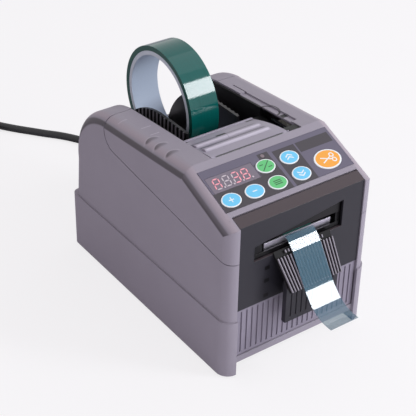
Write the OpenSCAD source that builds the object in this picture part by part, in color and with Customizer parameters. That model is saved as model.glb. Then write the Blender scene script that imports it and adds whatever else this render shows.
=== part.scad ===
// Electric desk tape dispenser: drop-in tape roll, driven feed roller, guillotine cutter,
// sloping key panel, hinged roller cover and hinged front cover.
// Modules are drawn with the casing centred on the origin; placed() moves them so that the
// origin is below the middle of the whole machine, the hanging tape end included.

/* [Casing] */
// Overall width of the casing
casing_w = 132; // [126:1:146]
// Overall length of the casing
casing_l = 212; // [208:1:224]
// Height of the proud lower band
band_h = 50; // [44:1:56]
// How far the lower band stands proud of the upper walls
band_proud = 1.2; // [0.8:0.1:2]
// Wall thickness of the casing shells
wall = 2.6; // [2.2:0.1:3]
// Height of the front face up to the sloping panel
front_h = 128; // [126:1:132]
// Slope of the key panel
panel_angle = 22; // [20:1:24]
// Length of the sloping panel
panel_len = 60; // [59:0.5:63]
// Fall of the rims towards the rear
rim_fall = 4.6; // [3.5:0.1:5.5]
// Radius of the rounded rear
rear_r = 52; // [46:1:56]
// Lean of the rear wall above the band
rear_lean = 5.4; // [4:0.2:7]
// Radius of the long upper edges
edge_r = 9.5; // [8:0.5:11]
// Radius of the upright front corners
front_corner_r = 9; // [6:0.5:10]
// Radius of the upright rear corners
rear_corner_r = 10.5; // [10.5:0.5:14]
// Radius of the rear corners of the lower band
band_corner_r = 6; // [4:0.5:9]
// Width of each front pillar
pillar_w = 10.5; // [9:0.5:12]
// Height of the front sill's upper edge
sill_h = 16; // [15:0.5:18]
// Height of the open space under the front sill
toe_h = 10.5; // [8:0.5:11]
// Height of the rubber feet below the casing
foot_h = 1.5; // [1:0.1:3]
// Radius of the rubber feet
foot_r = 7; // [5:0.5:9]
// Thickness of the base plate
base_t = 3; // [2.6:0.2:4]
// Drop of the cover seam below the front's upper edge
seam_drop = 28; // [24:1:32]
// Rise of the cover seam towards the rear
seam_angle = 7.3; // [6:0.1:8]

/* [Tape bay] */
// Width of the opening for the tape
bay_w = 80; // [76:1:84]
// Depth of the bay floor below the front's upper edge
bay_depth = 62; // [58:1:68]
// Length of the opening in front of the bay, for the roller cover
feed_opening = 46; // [44:0.5:50]
// Drop of the low rear edge of the bay below the front's upper edge
notch_drop = 33; // [28:1:38]
// Wall thickness of the bay liner
liner_t = 1.6; // [1.2:0.1:2.4]

/* [Tape] */
// Width of the tape
tape_w = 25; // [12:1:38]
// Outer diameter of the tape roll
roll_d = 91; // [88:1:96]
// Depth of the film wound on the core
film_wound = 4; // [3:0.5:6]
// Wall of the core
core_t = 3.5; // [3:0.5:4]
// Rise of the roll's axis above the front's upper edge
roll_rise = 8; // [6:1:12]
// Distance of the roll's axis from the rear of the casing
roll_back = 47; // [46:0.5:50]
// Thickness of the film
film_t = 0.4; // [0.3:0.05:0.5]
// Radius of the curl of the hanging end
curl_r = 43; // [36:1:60]
// Angle of the curl of the hanging end
curl_angle = 47; // [30:1:55]

/* [Guides and rollers] */
// Distance between the two tape guides
guide_gap = 44; // [42:1:50]
// Thickness of a tape guide
guide_t = 3; // [2.5:0.5:4]
// Travel of each tape guide towards its wall
guide_travel = 12; // [6:0.5:12]
// Radius of the rollers that carry the tape roll
cradle_r = 7; // [6:0.5:7]
// Radius of the rods of those rollers
rod_r = 4; // [3:0.5:4.5]
// Angle of the carrying rollers from the bottom of the roll
cradle_angle = 20; // [18:1:21]
// Radius of the driven feed roller
feed_r = 10; // [9:0.5:11]
// Length of the feed roller
feed_len = 50; // [44:1:56]
// Radius of the pinch roller
pinch_r = 7; // [5.5:0.5:7]
// Distance of the pinch roller's end from the cheek of its cover
pinch_side = 3.4; // [2:0.2:4]
// Radius of the feed shaft
shaft_r = 3; // [2.5:0.5:3.5]
// Radius of the pinch roller's shaft
pinch_shaft_r = 2; // [1.5:0.25:2.5]
// Teeth of the feed gear
gear_teeth = 44; // [40:4:44]
// Teeth of the motor's pinion
pinion_teeth = 16; // [12:4:16]
// Gear module
gear_module = 1; // [0.9:0.05:1]

/* [Roller cover] */
// Width of the roller cover
roller_cover_w = 67; // [64:0.5:69]
// Thickness of the roller cover
roller_cover_t = 2.4; // [2:0.1:2.8]
// Drop of the roller cover from its hinge to its rear edge
roller_cover_drop = 10; // [9:0.5:11]
// Radius of the hinge barrel
barrel_r = 1.8; // [1.6:0.1:2]
// Radius of the hinge pins
hinge_pin_r = 1; // [0.8:0.1:1.1]
// Radius of the two grip ridges
ridge_r = 3.6; // [3.2:0.1:4]

/* [Key panel] */
// Margin between the overlay and the side of the casing
overlay_side = 9; // [8:0.5:11]
// Distance of the overlay from the panel's front edge
overlay_front = 16; // [14:0.5:17]
// Length of the overlay along the slope
overlay_len = 37; // [36:0.5:39]
// Thickness of the overlay
overlay_t = 1.2; // [1:0.1:1.4]
// Space between the oval keys of a row
key_space = 4.2; // [3:0.1:5]
// Half height of an oval key
key_b = 5.9; // [5:0.1:6.6]
// Half width of the large cutting key
cut_key_a = 11.5; // [10:0.1:12.5]
// Half height of the large cutting key
cut_key_b = 8.5; // [7.5:0.1:9.2]
// Travel of a key
key_travel = 0.6; // [0.4:0.1:0.8]
// Margin between the display window and the overlay's side
display_side = 1.7; // [1.5:0.1:4]
// Height of the display window
display_h = 14; // [12:0.5:15]

/* [Cutter] */
// Height of the front cover's upright face
cover_h = 70.3; // [68:0.1:74]
// Thickness of the front cover
cover_t = 2; // [1.6:0.1:2.4]
// Drop of the slot where the film leaves the cutter below the front's upper edge
slot_drop = 24; // [23:0.5:25]
// Travel of the moving blade
blade_travel = 6; // [4:0.5:6.5]
// Width of the blades
blade_w = 60; // [50:1:62]
// Thickness of the blades
blade_t = 1; // [0.8:0.1:1.2]
// Length of the outlet ramp
ramp_len = 31; // [26:1:34]
// Slope of the outlet ramp
ramp_angle = 53; // [50:1:56]
// Width of the outlet ramp at its upper end
ramp_w = 51; // [46:1:54]
// Width of the outlet ramp at its lower end
ramp_end_w = 45; // [42:1:46]
// Number of ribs on the outlet ramp
ramp_ribs = 19; // [13:2:21]
// Number of grooves in the front panel
panel_grooves = 22; // [16:1:26]

/* [Power lead] */
// Diameter of the power cord
cord_d = 7; // [6.5:0.1:7]
// Turns in each of the two layers of the coil
coil_turns = 2.5; // [2:0.5:2.5]
// Radius of the outer turn of the coil
coil_r = 48; // [46:0.5:50]

/* [Hidden] */
$fn = 48;
eps = 0.01;
far = 400;
fit = 0.3;         // gap between neighbouring pieces
run = 0.05;        // radial running clearance of shafts and pins
film_gap = 0.3;    // gap between the film and what it passes
seam_gap = 0.7;    // groove between the top cover and the casing

upper_half = casing_w / 2 - band_proud;
front_y = -casing_l / 2 + band_proud;
rear_y = casing_l / 2;
seam_h = front_h - seam_drop;
bay_floor = front_h - bay_depth;
notch_h = front_h - notch_drop;
roll_z = front_h + roll_rise;
cover_bottom = front_h - cover_h;
slot_z = front_h - slot_drop;
rear_up_y = rear_y - band_proud;
deck_y = front_y + panel_len * cos(panel_angle);
deck_z = front_h + panel_len * sin(panel_angle);
function rim_z(y) = deck_z - (y - deck_y) * tan(rim_fall);
// Axis of the rounded rear, which meets the rims and ends on the leaning rear wall
rear_drop = rim_z(0) - rear_r / cos(rim_fall) - band_h;
rear_cy = (rear_up_y - rear_r - rear_drop * tan(rear_lean))
    / (1 - tan(rim_fall) * tan(rear_lean));
rear_cz = rim_z(rear_cy) - rear_r / cos(rim_fall);
pillar_in = casing_w / 2 - pillar_w;
base_top = foot_h + base_t;

bay_front = deck_y + feed_opening;
open_y = deck_y - 0.4;
liner_half = bay_w / 2 - fit;
liner_rear = rear_cy + rear_r - wall - fit;
seam_r = 14;
seam_y = rear_cy + rear_r * sin(rim_fall);   // where the rims end and the rounded rear begins

plate_x = bay_w / 2 + 6;     // inner face of the side plates
plate_t = 2;

roll_y = rear_y - roll_back;
roll_r = roll_d / 2;
core_d = roll_d - 2 * film_wound;
core_bore = core_d - 2 * core_t;
guide_x = guide_gap / 2;
cradle_reach = roll_r + cradle_r + fit;
front_rod = [roll_y - cradle_reach * sin(cradle_angle), roll_z - cradle_reach * cos(cradle_angle)];
rear_rod = [roll_y + cradle_reach * sin(cradle_angle), front_rod[1]];

feed_y = deck_y + 25.2;
feed_rise = 11.4;   // feed roller's axis above the slot
feed_z = slot_z + feed_rise;
web_r = feed_r + film_gap + film_t / 2;
pinch_z = feed_z + web_r + film_t / 2 + film_gap + pinch_r;
gear_r = gear_module * gear_teeth / 2;
pinion_r = gear_module * pinion_teeth / 2;
motor_z = feed_z - gear_r - pinion_r;
gear_x = plate_x + plate_t + 2;
gear_t = 5;
motor_r = 14;
motor_len = 38;

hinge_y = deck_y + barrel_r + 0.1;
hinge_z = deck_z - barrel_r - 0.1;
cover_x0 = -bay_w / 2 + 0.6;
cover_x1 = cover_x0 + roller_cover_w;
roller_cover_end = bay_front - 2;
cheek_t = 2.2;
pinch_len = 2 * (cover_x1 - cheek_t - pinch_side);

cover_half = pillar_in - fit;
plate_front = front_y + 1;
cover_hinge_s = 9.8;
cover_barrel = 1.4;
cover_hinge_n = cover_barrel + 0.1;   // depth of the hinge axis below the panel
cover_pin = 0.9;

blade_y = plate_front + 4.9;       // cutting plane between the two blades
blade_gap = 0.1;
web_end = blade_y + 0.6;
tail_start = blade_y - blade_t - 0.7;

key_gap = 0.3;
key_proud = 0.5;
key_t = 2.4;
board_n = -8;
board_t = 1.6;
row_low = 24;
row_high = 39.5;
overlay_w = casing_w - 2 * overlay_side;
// The row of keys runs from the first key to the cutting key, each at its share of the way
row_x0 = -overlay_w / 2 + 9.8;
cut_key_side = 5;
row_x1 = overlay_w / 2 - cut_key_a - cut_key_side;
function row_x(share) = row_x0 + share * (row_x1 - row_x0);
key_a = (row_x(0.228) - row_x0 - key_space) / 2;
// Each key: name, place across, place up the slope, half width, half height
keys = [
    ["key_plus", row_x0, row_low, key_a, key_b],
    ["key_minus", row_x(0.228), row_low, key_a, key_b],
    ["key_select", row_x(0.458), row_low, key_a, key_b],
    ["key_mode", row_x(0.458), row_high, key_a, key_b],
    ["key_up", row_x(0.7), row_high, key_a, key_b],
    ["key_down", row_x(0.7), row_low, key_a, key_b],
    ["key_cut", row_x1, 27.2, cut_key_a, cut_key_b]
];
// The display fills the space from the overlay's side to the key beside it
display_x0 = -overlay_w / 2 + display_side;
display_w = keys[3][1] - key_a - 2 * key_gap - display_x0;
display_at = [display_x0 + display_w / 2, row_high];
led_at = [keys[3][1] + 3, row_high + key_b + 2.6];

// Path of the film over the feed roller, as points in the upright plane along the machine
function polar(c, r, a) = [c[0] + r * cos(a), c[1] + r * sin(a)];
roll_c = [roll_y, roll_z];
feed_c = [feed_y, feed_z];
slot_p = [web_end, slot_z];
leave_r = roll_r + film_gap + film_t / 2;
to_feed = feed_c - roll_c;
web_turn = atan2(to_feed[1], to_feed[0]) + 360 - asin((leave_r + web_r) / norm(to_feed));
to_slot = slot_p - feed_c;
slot_turn = atan2(to_slot[1], to_slot[0]) + 360 - acos(web_r / norm(to_slot));
web_path = concat(
    [polar(roll_c, leave_r, web_turn + 90)],
    [for (a = [web_turn - 90 : (slot_turn - web_turn + 90) / 5 : slot_turn + eps]) polar(feed_c, web_r, a)],
    [slot_p]
);
// Path of the hanging end: out of the slot, down the ramp, then an upward curl
ramp_top = [plate_front - 0.2, slot_z - 7];
rib_h = 2;
ramp_t = 2;
tail_lift = rib_h + film_gap + film_t / 2;
ramp_dir = [-cos(ramp_angle), -sin(ramp_angle)];
ramp_out = [-sin(ramp_angle), cos(ramp_angle)];
function on_ramp(s, n) = ramp_top + s * ramp_dir + n * ramp_out;
curl_c = on_ramp(ramp_len + 1, tail_lift + curl_r);
curl_steps = 10;
tail_path = concat(
    [[tail_start, slot_z - 0.6], [plate_front - 1.6, slot_z - 2.4]],
    [on_ramp(5, tail_lift)],
    [for (i = [0 : curl_steps]) polar(curl_c, curl_r, ramp_angle - 90 - i * curl_angle / curl_steps)]
);
tail_reach = -tail_path[len(tail_path) - 1][0] - casing_l / 2;
rocker_proud = 2;   // reach of the power rocker behind the casing
origin_shift = (tail_reach - rocker_proud) / 2;

// Route of the power cord from the gland to the coil, in the shared frame
cord_route = [
    [38, 156, 18], [38, 166, 18], [38, 178, 15.5], [37, 191, 10.5], [36, 204, 5.8], [34, 218, 4.2],
    [31, 233, 3.6], [26.5, 247, 3.6], [21, 260, 3.6], [14, 272, 3.6], [6, 283, 3.6], [-2, 292, 3.6],
    [-10, 302, 3.6], [-19, 313, 3.6], [-28, 325, 3.7], [-37, 338, 4], [-46, 351, 4.5], [-53, 361, 4.8],
    [-58.7, 369.5, 4.9]
];
coil_c = [-98, 342];
coil_start = 35;
coil_z = 4.9;
coil_pitch = cord_d + 0.8;
coil_rings = 24;
coil_r_in = coil_r - coil_turns * coil_pitch;

// Shared shapes

module placed() translate([0, origin_shift, 0]) children();

// Frame of the sloping panel: x across, y up the slope, z out of the panel
module on_panel() translate([0, front_y, front_h]) rotate([panel_angle, 0, 0]) children();

// Point of the upright plane along the machine that lies at s up the slope and n out of the panel
function on_slope(s, n) = [front_y + s * cos(panel_angle) - n * sin(panel_angle),
    front_h + s * sin(panel_angle) + n * cos(panel_angle)];

// Extrudes an outline drawn along the machine (y, z) across it, from x0 to x1
module across(x0, x1) translate([x0, 0, 0]) rotate([90, 0, 90]) linear_extrude(height = x1 - x0) children();

// Rod along x between x0 and x1 at the point [y, z]
module rod(p, r, x0, x1) translate([x0, p[0], p[1]]) rotate([0, 90, 0]) cylinder(r = r, h = x1 - x0);

module box(low, high) translate(low) cube(high - low);

module oval(a, b) polygon([for (i = [0 : 35]) [a * cos(10 * i), b * sin(10 * i)]]);

// Flat strip of film along a path, with its thickness centred on the path
module film(path, w) {
    last = len(path) - 1;
    ahead = [for (i = [0 : last]) path[min(i + 1, last)] - path[max(i - 1, 0)]];
    side = [for (d = ahead) [-d[1], d[0]] / norm(d) * film_t / 2];
    across(-w / 2, w / 2) polygon(concat(
        [for (i = [0 : last]) path[i] + side[i]],
        [for (i = [last : -1 : 0]) path[i] - side[i]]
    ));
}

// Rectangle with its own corner radii at the front and at the rear
module plan(half, y0, y1, rf, rr) {
    translate([-half, y0 + rf]) square([2 * half, y1 - y0 - rf - rr]);
    translate([-half + rf, y0]) square([2 * (half - rf), y1 - y0 - rr]);
    translate([-half + rr, y0 + rf]) square([2 * (half - rr), y1 - y0 - rf]);
    for (s = [-1, 1]) {
        translate([s * (half - rf), y0 + rf]) circle(rf);
        translate([s * (half - rr), y1 - rr]) circle(rr);
    }
}

// Rectangle with rounded front corners
module front_plan(half, y0, y1, r) {
    translate([-half, y0 + r]) square([2 * half, y1 - y0 - r]);
    translate([-half + r, y0]) square([2 * (half - r), y1 - y0]);
    for (s = [-1, 1]) translate([s * (half - r), y0 + r]) circle(r);
}

// Upright section with a flat top and rounded upper edges
module tomb(half, top, r) {
    translate([-half, -far]) square([2 * half, far + top - r]);
    translate([-half + r, -far]) square([2 * (half - r), far + top]);
    for (s = [-1, 1]) translate([s * (half - r), top - r]) circle(r);
}

// Half section of the rounded rear, for turning about its axis
module rear_section(half, r_out, r) {
    translate([0, -half]) square([r_out - r, 2 * half]);
    translate([0, -half + r]) square([r_out, 2 * (half - r)]);
    for (s = [-1, 1]) translate([r_out - r, s * (half - r)]) circle(r);
}

// How far the plan and the rims stand outside the side walls, so that their rounded edges cross them
corner_lap = 0.08;

// How much rounder the edges of the rims are than those of the panel
rim_edge_more = 0.6;

// Outer form of the panel and the rims, drawn in by d on every side
module upper_form(d, z0) {
    half = upper_half - d;
    r = edge_r - d;
    intersection() {
        translate([0, 0, z0]) linear_extrude(height = far)
            front_plan(half + corner_lap, front_y + d, rear_up_y - d, front_corner_r - d);
        on_panel() rotate([90, 0, 0]) linear_extrude(height = 2 * far, center = true) tomb(half, -d, r);
        translate([0, rear_cy, rear_cz]) rotate([90 - rim_fall, 0, 0])
            linear_extrude(height = 2 * far, center = true)
                tomb(half + corner_lap, rear_r - d, r + rim_edge_more);
    }
}

// Outer form of the walls below the seam and of the rounded rear, drawn in by d on every side
module lower_form(d, z0) {
    half = upper_half - d;
    r = edge_r - d;
    intersection() {
        translate([0, 0, z0]) linear_extrude(height = far)
            front_plan(half, front_y + d, rear_up_y + band_proud / 2 - d, front_corner_r - d);
        union() {
            box([-half, -far, -far], [half, rear_cy, rear_cz + rear_r - edge_r - 2]);
            translate([0, rear_cy, rear_cz]) rotate([0, 90, 0]) rotate_extrude($fn = 96)
                rear_section(half, rear_r - d, r);
            translate([0, rear_cy + rear_r, rear_cz]) rotate([rear_lean, 0, 0]) translate([0, 0, -far])
                linear_extrude(height = far + 4) tomb(half, -d, rear_corner_r - d);
        }
    }
}

// Everything inside the rounded rear, drawn in by d
module rear_clip(d) across(-bay_w, bay_w) {
    translate([rear_cy, rear_cz]) circle(rear_r - d, $fn = 96);
    translate([rear_cy - far, rear_cz - far]) square([far, 2 * far]);
    translate([rear_cy - far, rear_cz - far]) square([2 * far, far]);
}

module band_form(d, z0, z1) translate([0, 0, z0]) linear_extrude(height = z1 - z0)
    plan(casing_w / 2 - d, -casing_l / 2 + d, casing_l / 2 - d, front_corner_r + band_proud - d,
        band_corner_r - d);

// Everything above the seam of the top cover, grown by g
module cover_zone(g) {
    bend_y = seam_y + g;
    z_bend = seam_h + (bend_y - seam_r - front_y) * tan(seam_angle) - g;
    across(-casing_w, casing_w) polygon(concat(
        [[-far, z_bend - (bend_y - seam_r + far) * tan(seam_angle)]],
        [for (a = [0 : 15 : 90]) [bend_y - seam_r + seam_r * sin(a), z_bend + seam_r * (1 - cos(a))]],
        [[bend_y, far], [-far, far]]
    ));
}

module front_opening(z0) box([-pillar_in, -casing_l, z0], [pillar_in, front_y + wall + 6, far]);

screw_r = 1.5;
boss_r = 4;
boss_x = casing_w / 2 - wall - boss_r + 1;
boss_top = 22;
screw_ys = [-casing_l / 2 + 40, casing_l / 2 - 30];
module at_screws() for (x = [-boss_x, boss_x], y = screw_ys) translate([x, y, 0]) children();
module at_feet() for (x = [-1, 1], y = [-1, 1])
    translate([x * (casing_w / 2 - 20), y * (casing_l / 2 - 22), 0]) children();

gland_x = cord_route[0][0];
gland_z = cord_route[0][2];
gland_r = 6;
switch_x = -30;
switch_z = 24;
switch_w = 21;
switch_h = 15;

module rear_cuts() {
    translate([gland_x, rear_y + 1, gland_z]) rotate([90, 0, 0]) cylinder(r = gland_r + run, h = 20);
    box([switch_x - switch_w / 2, rear_y - 20, switch_z - switch_h / 2],
        [switch_x + switch_w / 2, rear_y + 1, switch_z + switch_h / 2]);
}

// Casing pieces

// Set-back sill between the pillars, with the closed ceiling, rear and cheeks of the space under it
sill_y = front_y + 1.2;
sill_t = 4;
toe_t = 2.5;
toe_y = -casing_l / 2 + 22 - foot_r - 1.8;
module front_sill() {
    across(-pillar_in - toe_t, pillar_in + toe_t) polygon([
        [sill_y, toe_h], [sill_y, sill_h], [sill_y + sill_t, sill_h], [sill_y + sill_t, toe_h + toe_t],
        [toe_y, toe_h + toe_t], [toe_y, foot_h], [toe_y - toe_t, foot_h], [toe_y - toe_t, toe_h]]);
    for (x = [-pillar_in - toe_t, pillar_in])
        box([x, front_y, foot_h], [x + toe_t, toe_y, toe_h + toe_t]);
}

module main_casing() color("#786f7b") placed() difference() {
    union() {
        difference() {
            union() {
                lower_form(0, foot_h);
                band_form(0, foot_h, band_h);
            }
            lower_form(wall, -1);
            band_form(wall, -1, band_h - wall);
            front_opening(-1);
        }
        front_sill();
        intersection() {
            at_screws() translate([0, 0, base_top + fit]) cylinder(r = boss_r, h = boss_top - base_top);
            band_form(wall / 2, foot_h, band_h);
        }
    }
    cover_zone(seam_gap);
    front_opening(sill_h);
    box([-bay_w / 2, 0, notch_h], [bay_w / 2, far, far]);
    at_screws() cylinder(r = screw_r + run, h = boss_top - 2);
    rear_cuts();
}

ear_w = 4;
overlay_ledge = 0.8;
board_boss_r = 1.5;
board_s0 = 12.4;
board_s1 = 56.5;
board_half = overlay_w / 2 - 5;
board_boss_x = board_half - 6;
board_boss_s = [14, 55];
module at_board_bosses() for (x = [-1, 1] * board_boss_x, s = board_boss_s)
    on_panel() translate([x, s, 0]) children();

// Lowered strip beside the bay on the right rim, and the slot behind its step
rim_strip_x = bay_w / 2 + 5;
rim_strip_y = [-38, 24];
rim_step = 1.2;
rim_slot_w = 1;
rim_slot_y = [23, 40];
rim_slot_d = 1.6;
module rim_cut(x0, x1, y, depth) across(x0, x1)
    polygon([[y[0], rim_z(y[0]) - depth], [y[1], rim_z(y[1]) - depth], [y[1], far], [y[0], far]]);

module top_cover() color("#8d8694") placed() difference() {
    union() {
        intersection() {
            difference() {
                upper_form(0, foot_h);
                upper_form(wall, -1);
            }
            cover_zone(0);
        }
        // ears that hold the pins of the two hinged covers, and bosses for the control board
        intersection() {
            union() {
                rod([hinge_y, hinge_z], barrel_r + 1.4, -bay_w / 2 - 4, -bay_w / 2);
                for (x = [-1, 1] * (pillar_in + ear_w / 2)) on_panel()
                    translate([x, cover_hinge_s, -cover_hinge_n]) rotate([0, 90, 0])
                        cylinder(r = cover_barrel + 1.2, h = ear_w, center = true);
                at_board_bosses() translate([0, 0, board_n]) cylinder(r = board_boss_r, h = -board_n);
            }
            upper_form(wall / 4, -1);
        }
    }
    front_opening(sill_h);
    on_panel() box([-pillar_in, -far, -far], [pillar_in, cover_hinge_s + cover_barrel + 0.4, far]);
    box([-bay_w / 2, open_y, notch_h], [bay_w / 2, far, far]);
    rim_cut(bay_w / 2 - 1, rim_strip_x, rim_strip_y, rim_step);
    rim_cut(rim_strip_x - rim_slot_w / 2, rim_strip_x + rim_slot_w / 2, rim_slot_y, rim_slot_d);
    on_panel() box([-overlay_w / 2 - fit / 2, overlay_front - fit / 2, -overlay_t],
        [overlay_w / 2 + fit / 2, overlay_front + overlay_len + fit / 2, far]);
    on_panel() box([-overlay_w / 2 + overlay_ledge, overlay_front + overlay_ledge, -wall - 1],
        [overlay_w / 2 - overlay_ledge, overlay_front + overlay_len - overlay_ledge, far]);
    rod([hinge_y, hinge_z], hinge_pin_r + run, -bay_w / 2 - 3, -bay_w / 2 + 1);
    for (s = [-1, 1]) on_panel() translate([s * pillar_in, cover_hinge_s, -cover_hinge_n])
        rotate([0, 90, 0]) cylinder(r = cover_pin + run, h = 6, center = true);
}

post_h = 5;
module at_posts() for (x = [-34, 34], y = [6, 74]) translate([x, y, base_top]) children();

module base_plate() color("#3c3a40") placed() difference() {
    union() {
        band_form(wall + fit, foot_h, base_top);
        at_posts() translate([0, 0, -1]) cylinder(r = 3.5, h = post_h + 1);
    }
    box([-pillar_in - toe_t - fit, -casing_l, -1], [pillar_in + toe_t + fit, toe_y + fit, far]);
    at_feet() translate([0, 0, foot_h - 1]) cylinder(r = foot_r + run, h = 2);
    at_screws() cylinder(r = screw_r + fit, h = base_top + 1);
    at_screws() cylinder(r = screw_r * 2 + fit, h = base_top - 1);
}

module rubber_feet() color("#1c1c1e") placed() at_feet() cylinder(r = foot_r, h = foot_h + 1);

module base_screws() color("#9a9ca0") placed() at_screws() {
    translate([0, 0, base_top - 2.2]) cylinder(r = screw_r * 2, h = 1.2);
    translate([0, 0, base_top - 1.2]) cylinder(r = screw_r, h = boss_top - base_top - 4);
}

panel_y = front_y + 2;
panel_top = cover_bottom - fit;
panel_half = pillar_in - fit;
panel_border = 2.4;
panel_t = 2.4;
panel_groove_w = 1.4;
panel_groove_d = 0.9;

module front_panel() color("#857e8c") placed() difference() {
    low = sill_h + fit;
    pitch = 2 * (panel_half - panel_border) / panel_grooves;
    box([-panel_half, panel_y, low], [panel_half, panel_y + panel_t, panel_top]);
    for (i = [0 : panel_grooves - 1]) {
        x = -panel_half + panel_border + (i + 0.5) * pitch;
        box([x - panel_groove_w / 2, panel_y - 1, low + panel_border],
            [x + panel_groove_w / 2, panel_y + panel_groove_d, panel_top - panel_border]);
    }
}

module bay_liner() color("#1b191d") placed() difference() {
    intersection() {
        box([-liner_half, bay_front, bay_floor - liner_t], [liner_half, liner_rear, far]);
        upper_form(wall / 2, -1);
        rear_clip(wall / 2);
    }
    inner = liner_half - liner_t;
    box([-inner, bay_front + liner_t, bay_floor], [inner, liner_rear - liner_t, far]);
    box([-inner, bay_front - 1, front_rod[1] - cradle_r], [inner, bay_front + liner_t + 1, far]);
    box([-inner, liner_rear - liner_t - 3, notch_h], [inner, far, far]);
    for (p = [front_rod, rear_rod]) rod(p, rod_r + run, -liner_half - 1, liner_half + 1);
}

// Key panel pieces

module panel_overlay() color("#6f6b80") placed() on_panel() difference() {
    box([-overlay_w / 2, overlay_front, -overlay_t], [overlay_w / 2, overlay_front + overlay_len, 0]);
    for (k = keys) translate([k[1], k[2], -overlay_t - 1]) linear_extrude(height = overlay_t + 2)
        oval(k[3] + key_gap, k[4] + key_gap);
    box([display_at[0] - display_w / 2, display_at[1] - display_h / 2, -overlay_t - 1],
        [display_at[0] + display_w / 2, display_at[1] + display_h / 2, 1]);
    translate([led_at[0], led_at[1], -overlay_t - 1]) cylinder(r = led_r + run, h = overlay_t + 2);
}

led_r = 1.5;

module display_window() color("#5a5468") placed() on_panel()
    box([display_at[0] - display_w / 2 + fit / 2, display_at[1] - display_h / 2 + fit / 2, -overlay_t],
        [display_at[0] + display_w / 2 - fit / 2, display_at[1] + display_h / 2 - fit / 2, -0.1]);

module display_module() color("#d9d6dc") placed() on_panel()
    box([display_at[0] - display_w / 2 + 1, display_at[1] - display_h / 2 + 1, board_n],
        [display_at[0] + display_w / 2 - 1, display_at[1] + display_h / 2 - 1, -overlay_t - fit]);

module status_led() color("#8d7d88") placed() on_panel()
    translate([led_at[0], led_at[1], board_n]) cylinder(r = led_r, h = -board_n + 0.2);

module control_board() color("#2f6b4a") placed() on_panel()
    box([-board_half, board_s0, board_n - board_t], [board_half, board_s1, board_n]);

module key_switches() color("#3a3a3e") placed() on_panel() for (k = keys) translate([k[1], k[2], board_n]) {
    translate([-3, -3, 0]) cube([6, 6, 3.5]);
    cylinder(r = 1.75, h = key_proud - key_t - key_travel - 0.1 - board_n);
}

module key(i, shade) color(shade) placed() on_panel()
    translate([keys[i][1], keys[i][2], key_proud - key_t])
        linear_extrude(height = key_t) oval(keys[i][3], keys[i][4]);

module key_plus() key(0, "#6fcbf3");
module key_minus() key(1, "#6fcbf3");
module key_select() key(2, "#6fcf86");
module key_mode() key(3, "#6fcf86");
module key_up() key(4, "#6fcbf3");
module key_down() key(5, "#6fcbf3");
module key_cut() key(6, "#f9b453");

// Front cover and outlet

window_x = [-42, 37];
window_low = slot_z - 8.5;
window_high = [slot_z + 4, slot_z + 14];   // left and right end of its slanting upper edge

module cutter_cover() color("#3d3a44") placed() {
    slope = tan(panel_angle);
    back = plate_front + cover_t;
    difference() {
        across(-cover_half, cover_half) {
            polygon([
                [plate_front, cover_bottom], [plate_front, front_h + (plate_front - front_y) * slope],
                on_slope(cover_hinge_s, 0), on_slope(cover_hinge_s, -cover_t),
                [back, front_h + (back - front_y) * slope - cover_t / cos(panel_angle)],
                [back, cover_bottom]
            ]);
            translate(on_slope(cover_hinge_s, -cover_hinge_n)) circle(cover_barrel);
        }
        translate([0, plate_front - 1, 0]) rotate([90, 0, 0]) translate([0, 0, -cover_t - 2])
            linear_extrude(height = cover_t + 2) polygon([
                [window_x[0], window_low], [window_x[1], window_low],
                [window_x[1], window_high[1]], [window_x[0], window_high[0]]
            ]);
    }
    for (s = [-1, 1]) mirror([s < 0 ? 1 : 0, 0, 0])
        rod(on_slope(cover_hinge_s, -cover_hinge_n), cover_pin, cover_half - 2, cover_half + 2);
}

// Frame of the outlet ramp: x across, y down the slope, z out of the ramp
module on_ramp_face() translate([0, ramp_top[0], ramp_top[1]]) rotate([ramp_angle, 0, 0])
    mirror([0, 1, 0]) children();

rib_w = 1;
rib_start = 5;         // the ribs begin below a comb of short teeth
tooth_s = [1, 3.2];
ramp_root = 6;         // length that runs up behind the cover's face

// A strip down the ramp that draws in with it towards the lower end
function ramp_share(s) = 1 - (1 - ramp_end_w / ramp_w) * s / ramp_len;
module ramp_strip(x, w, s, z) translate([0, 0, z[0]]) linear_extrude(height = z[1] - z[0]) polygon([
    for (p = [[-1, s[0]], [1, s[0]], [1, s[1]], [-1, s[1]]]) [(x + p[0] * w / 2) * ramp_share(p[1]), p[1]]
]);

module outlet_ramp() color("#26242a") placed() difference() {
    on_ramp_face() {
        ramp_strip(0, ramp_w, [-ramp_root, ramp_len], [-ramp_t, 0]);
        for (i = [0 : ramp_ribs - 1]) {
            x = (ramp_w - rib_w) * (i / (ramp_ribs - 1) - 0.5);
            ramp_strip(x, rib_w, [rib_start, ramp_len], [-ramp_t / 2, rib_h]);
            if (i > 2 && i < ramp_ribs - 3) ramp_strip(x, rib_w, tooth_s, [-ramp_t / 2, rib_h]);
        }
    }
    box([-casing_w, plate_front, 0], [casing_w, casing_l, far]);
}

chute_w = 47;
chute_out = 15;            // how far its face stands in front of the cover
chute_low = cover_bottom - 14.2;
chute_wall = 4;
chute_arm_w = 30;          // the arm that carries it
chute_arm_h = 9;
chute_grooves = 9;
chute_groove_w = 1.2;
chute_groove_d = 0.6;
chute_border = 4;

module lower_chute() color("#232127") placed() difference() {
    face = plate_front - chute_out;
    pitch = (chute_w - 2 * chute_border - chute_groove_w) / (chute_grooves - 1);
    union() {
        box([-chute_w / 2, face, chute_low], [chute_w / 2, face + chute_wall, slot_z]);
        box([-chute_arm_w / 2, face + 1, cover_bottom + 1],
            [chute_arm_w / 2, plate_front, cover_bottom + chute_arm_h]);
    }
    for (i = [0 : chute_grooves - 1]) {
        x = -chute_w / 2 + chute_border + i * pitch;
        box([x, face - 1, chute_low + chute_border], [x + chute_groove_w, face + chute_groove_d, slot_z]);
    }
    on_ramp_face() box([-casing_w, -far, -ramp_t - fit], [casing_w, far, far]);
}

module tape_tail() color("#6f97a5") placed() film(tail_path, tape_w);

// Roller cover and pinch roller

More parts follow.
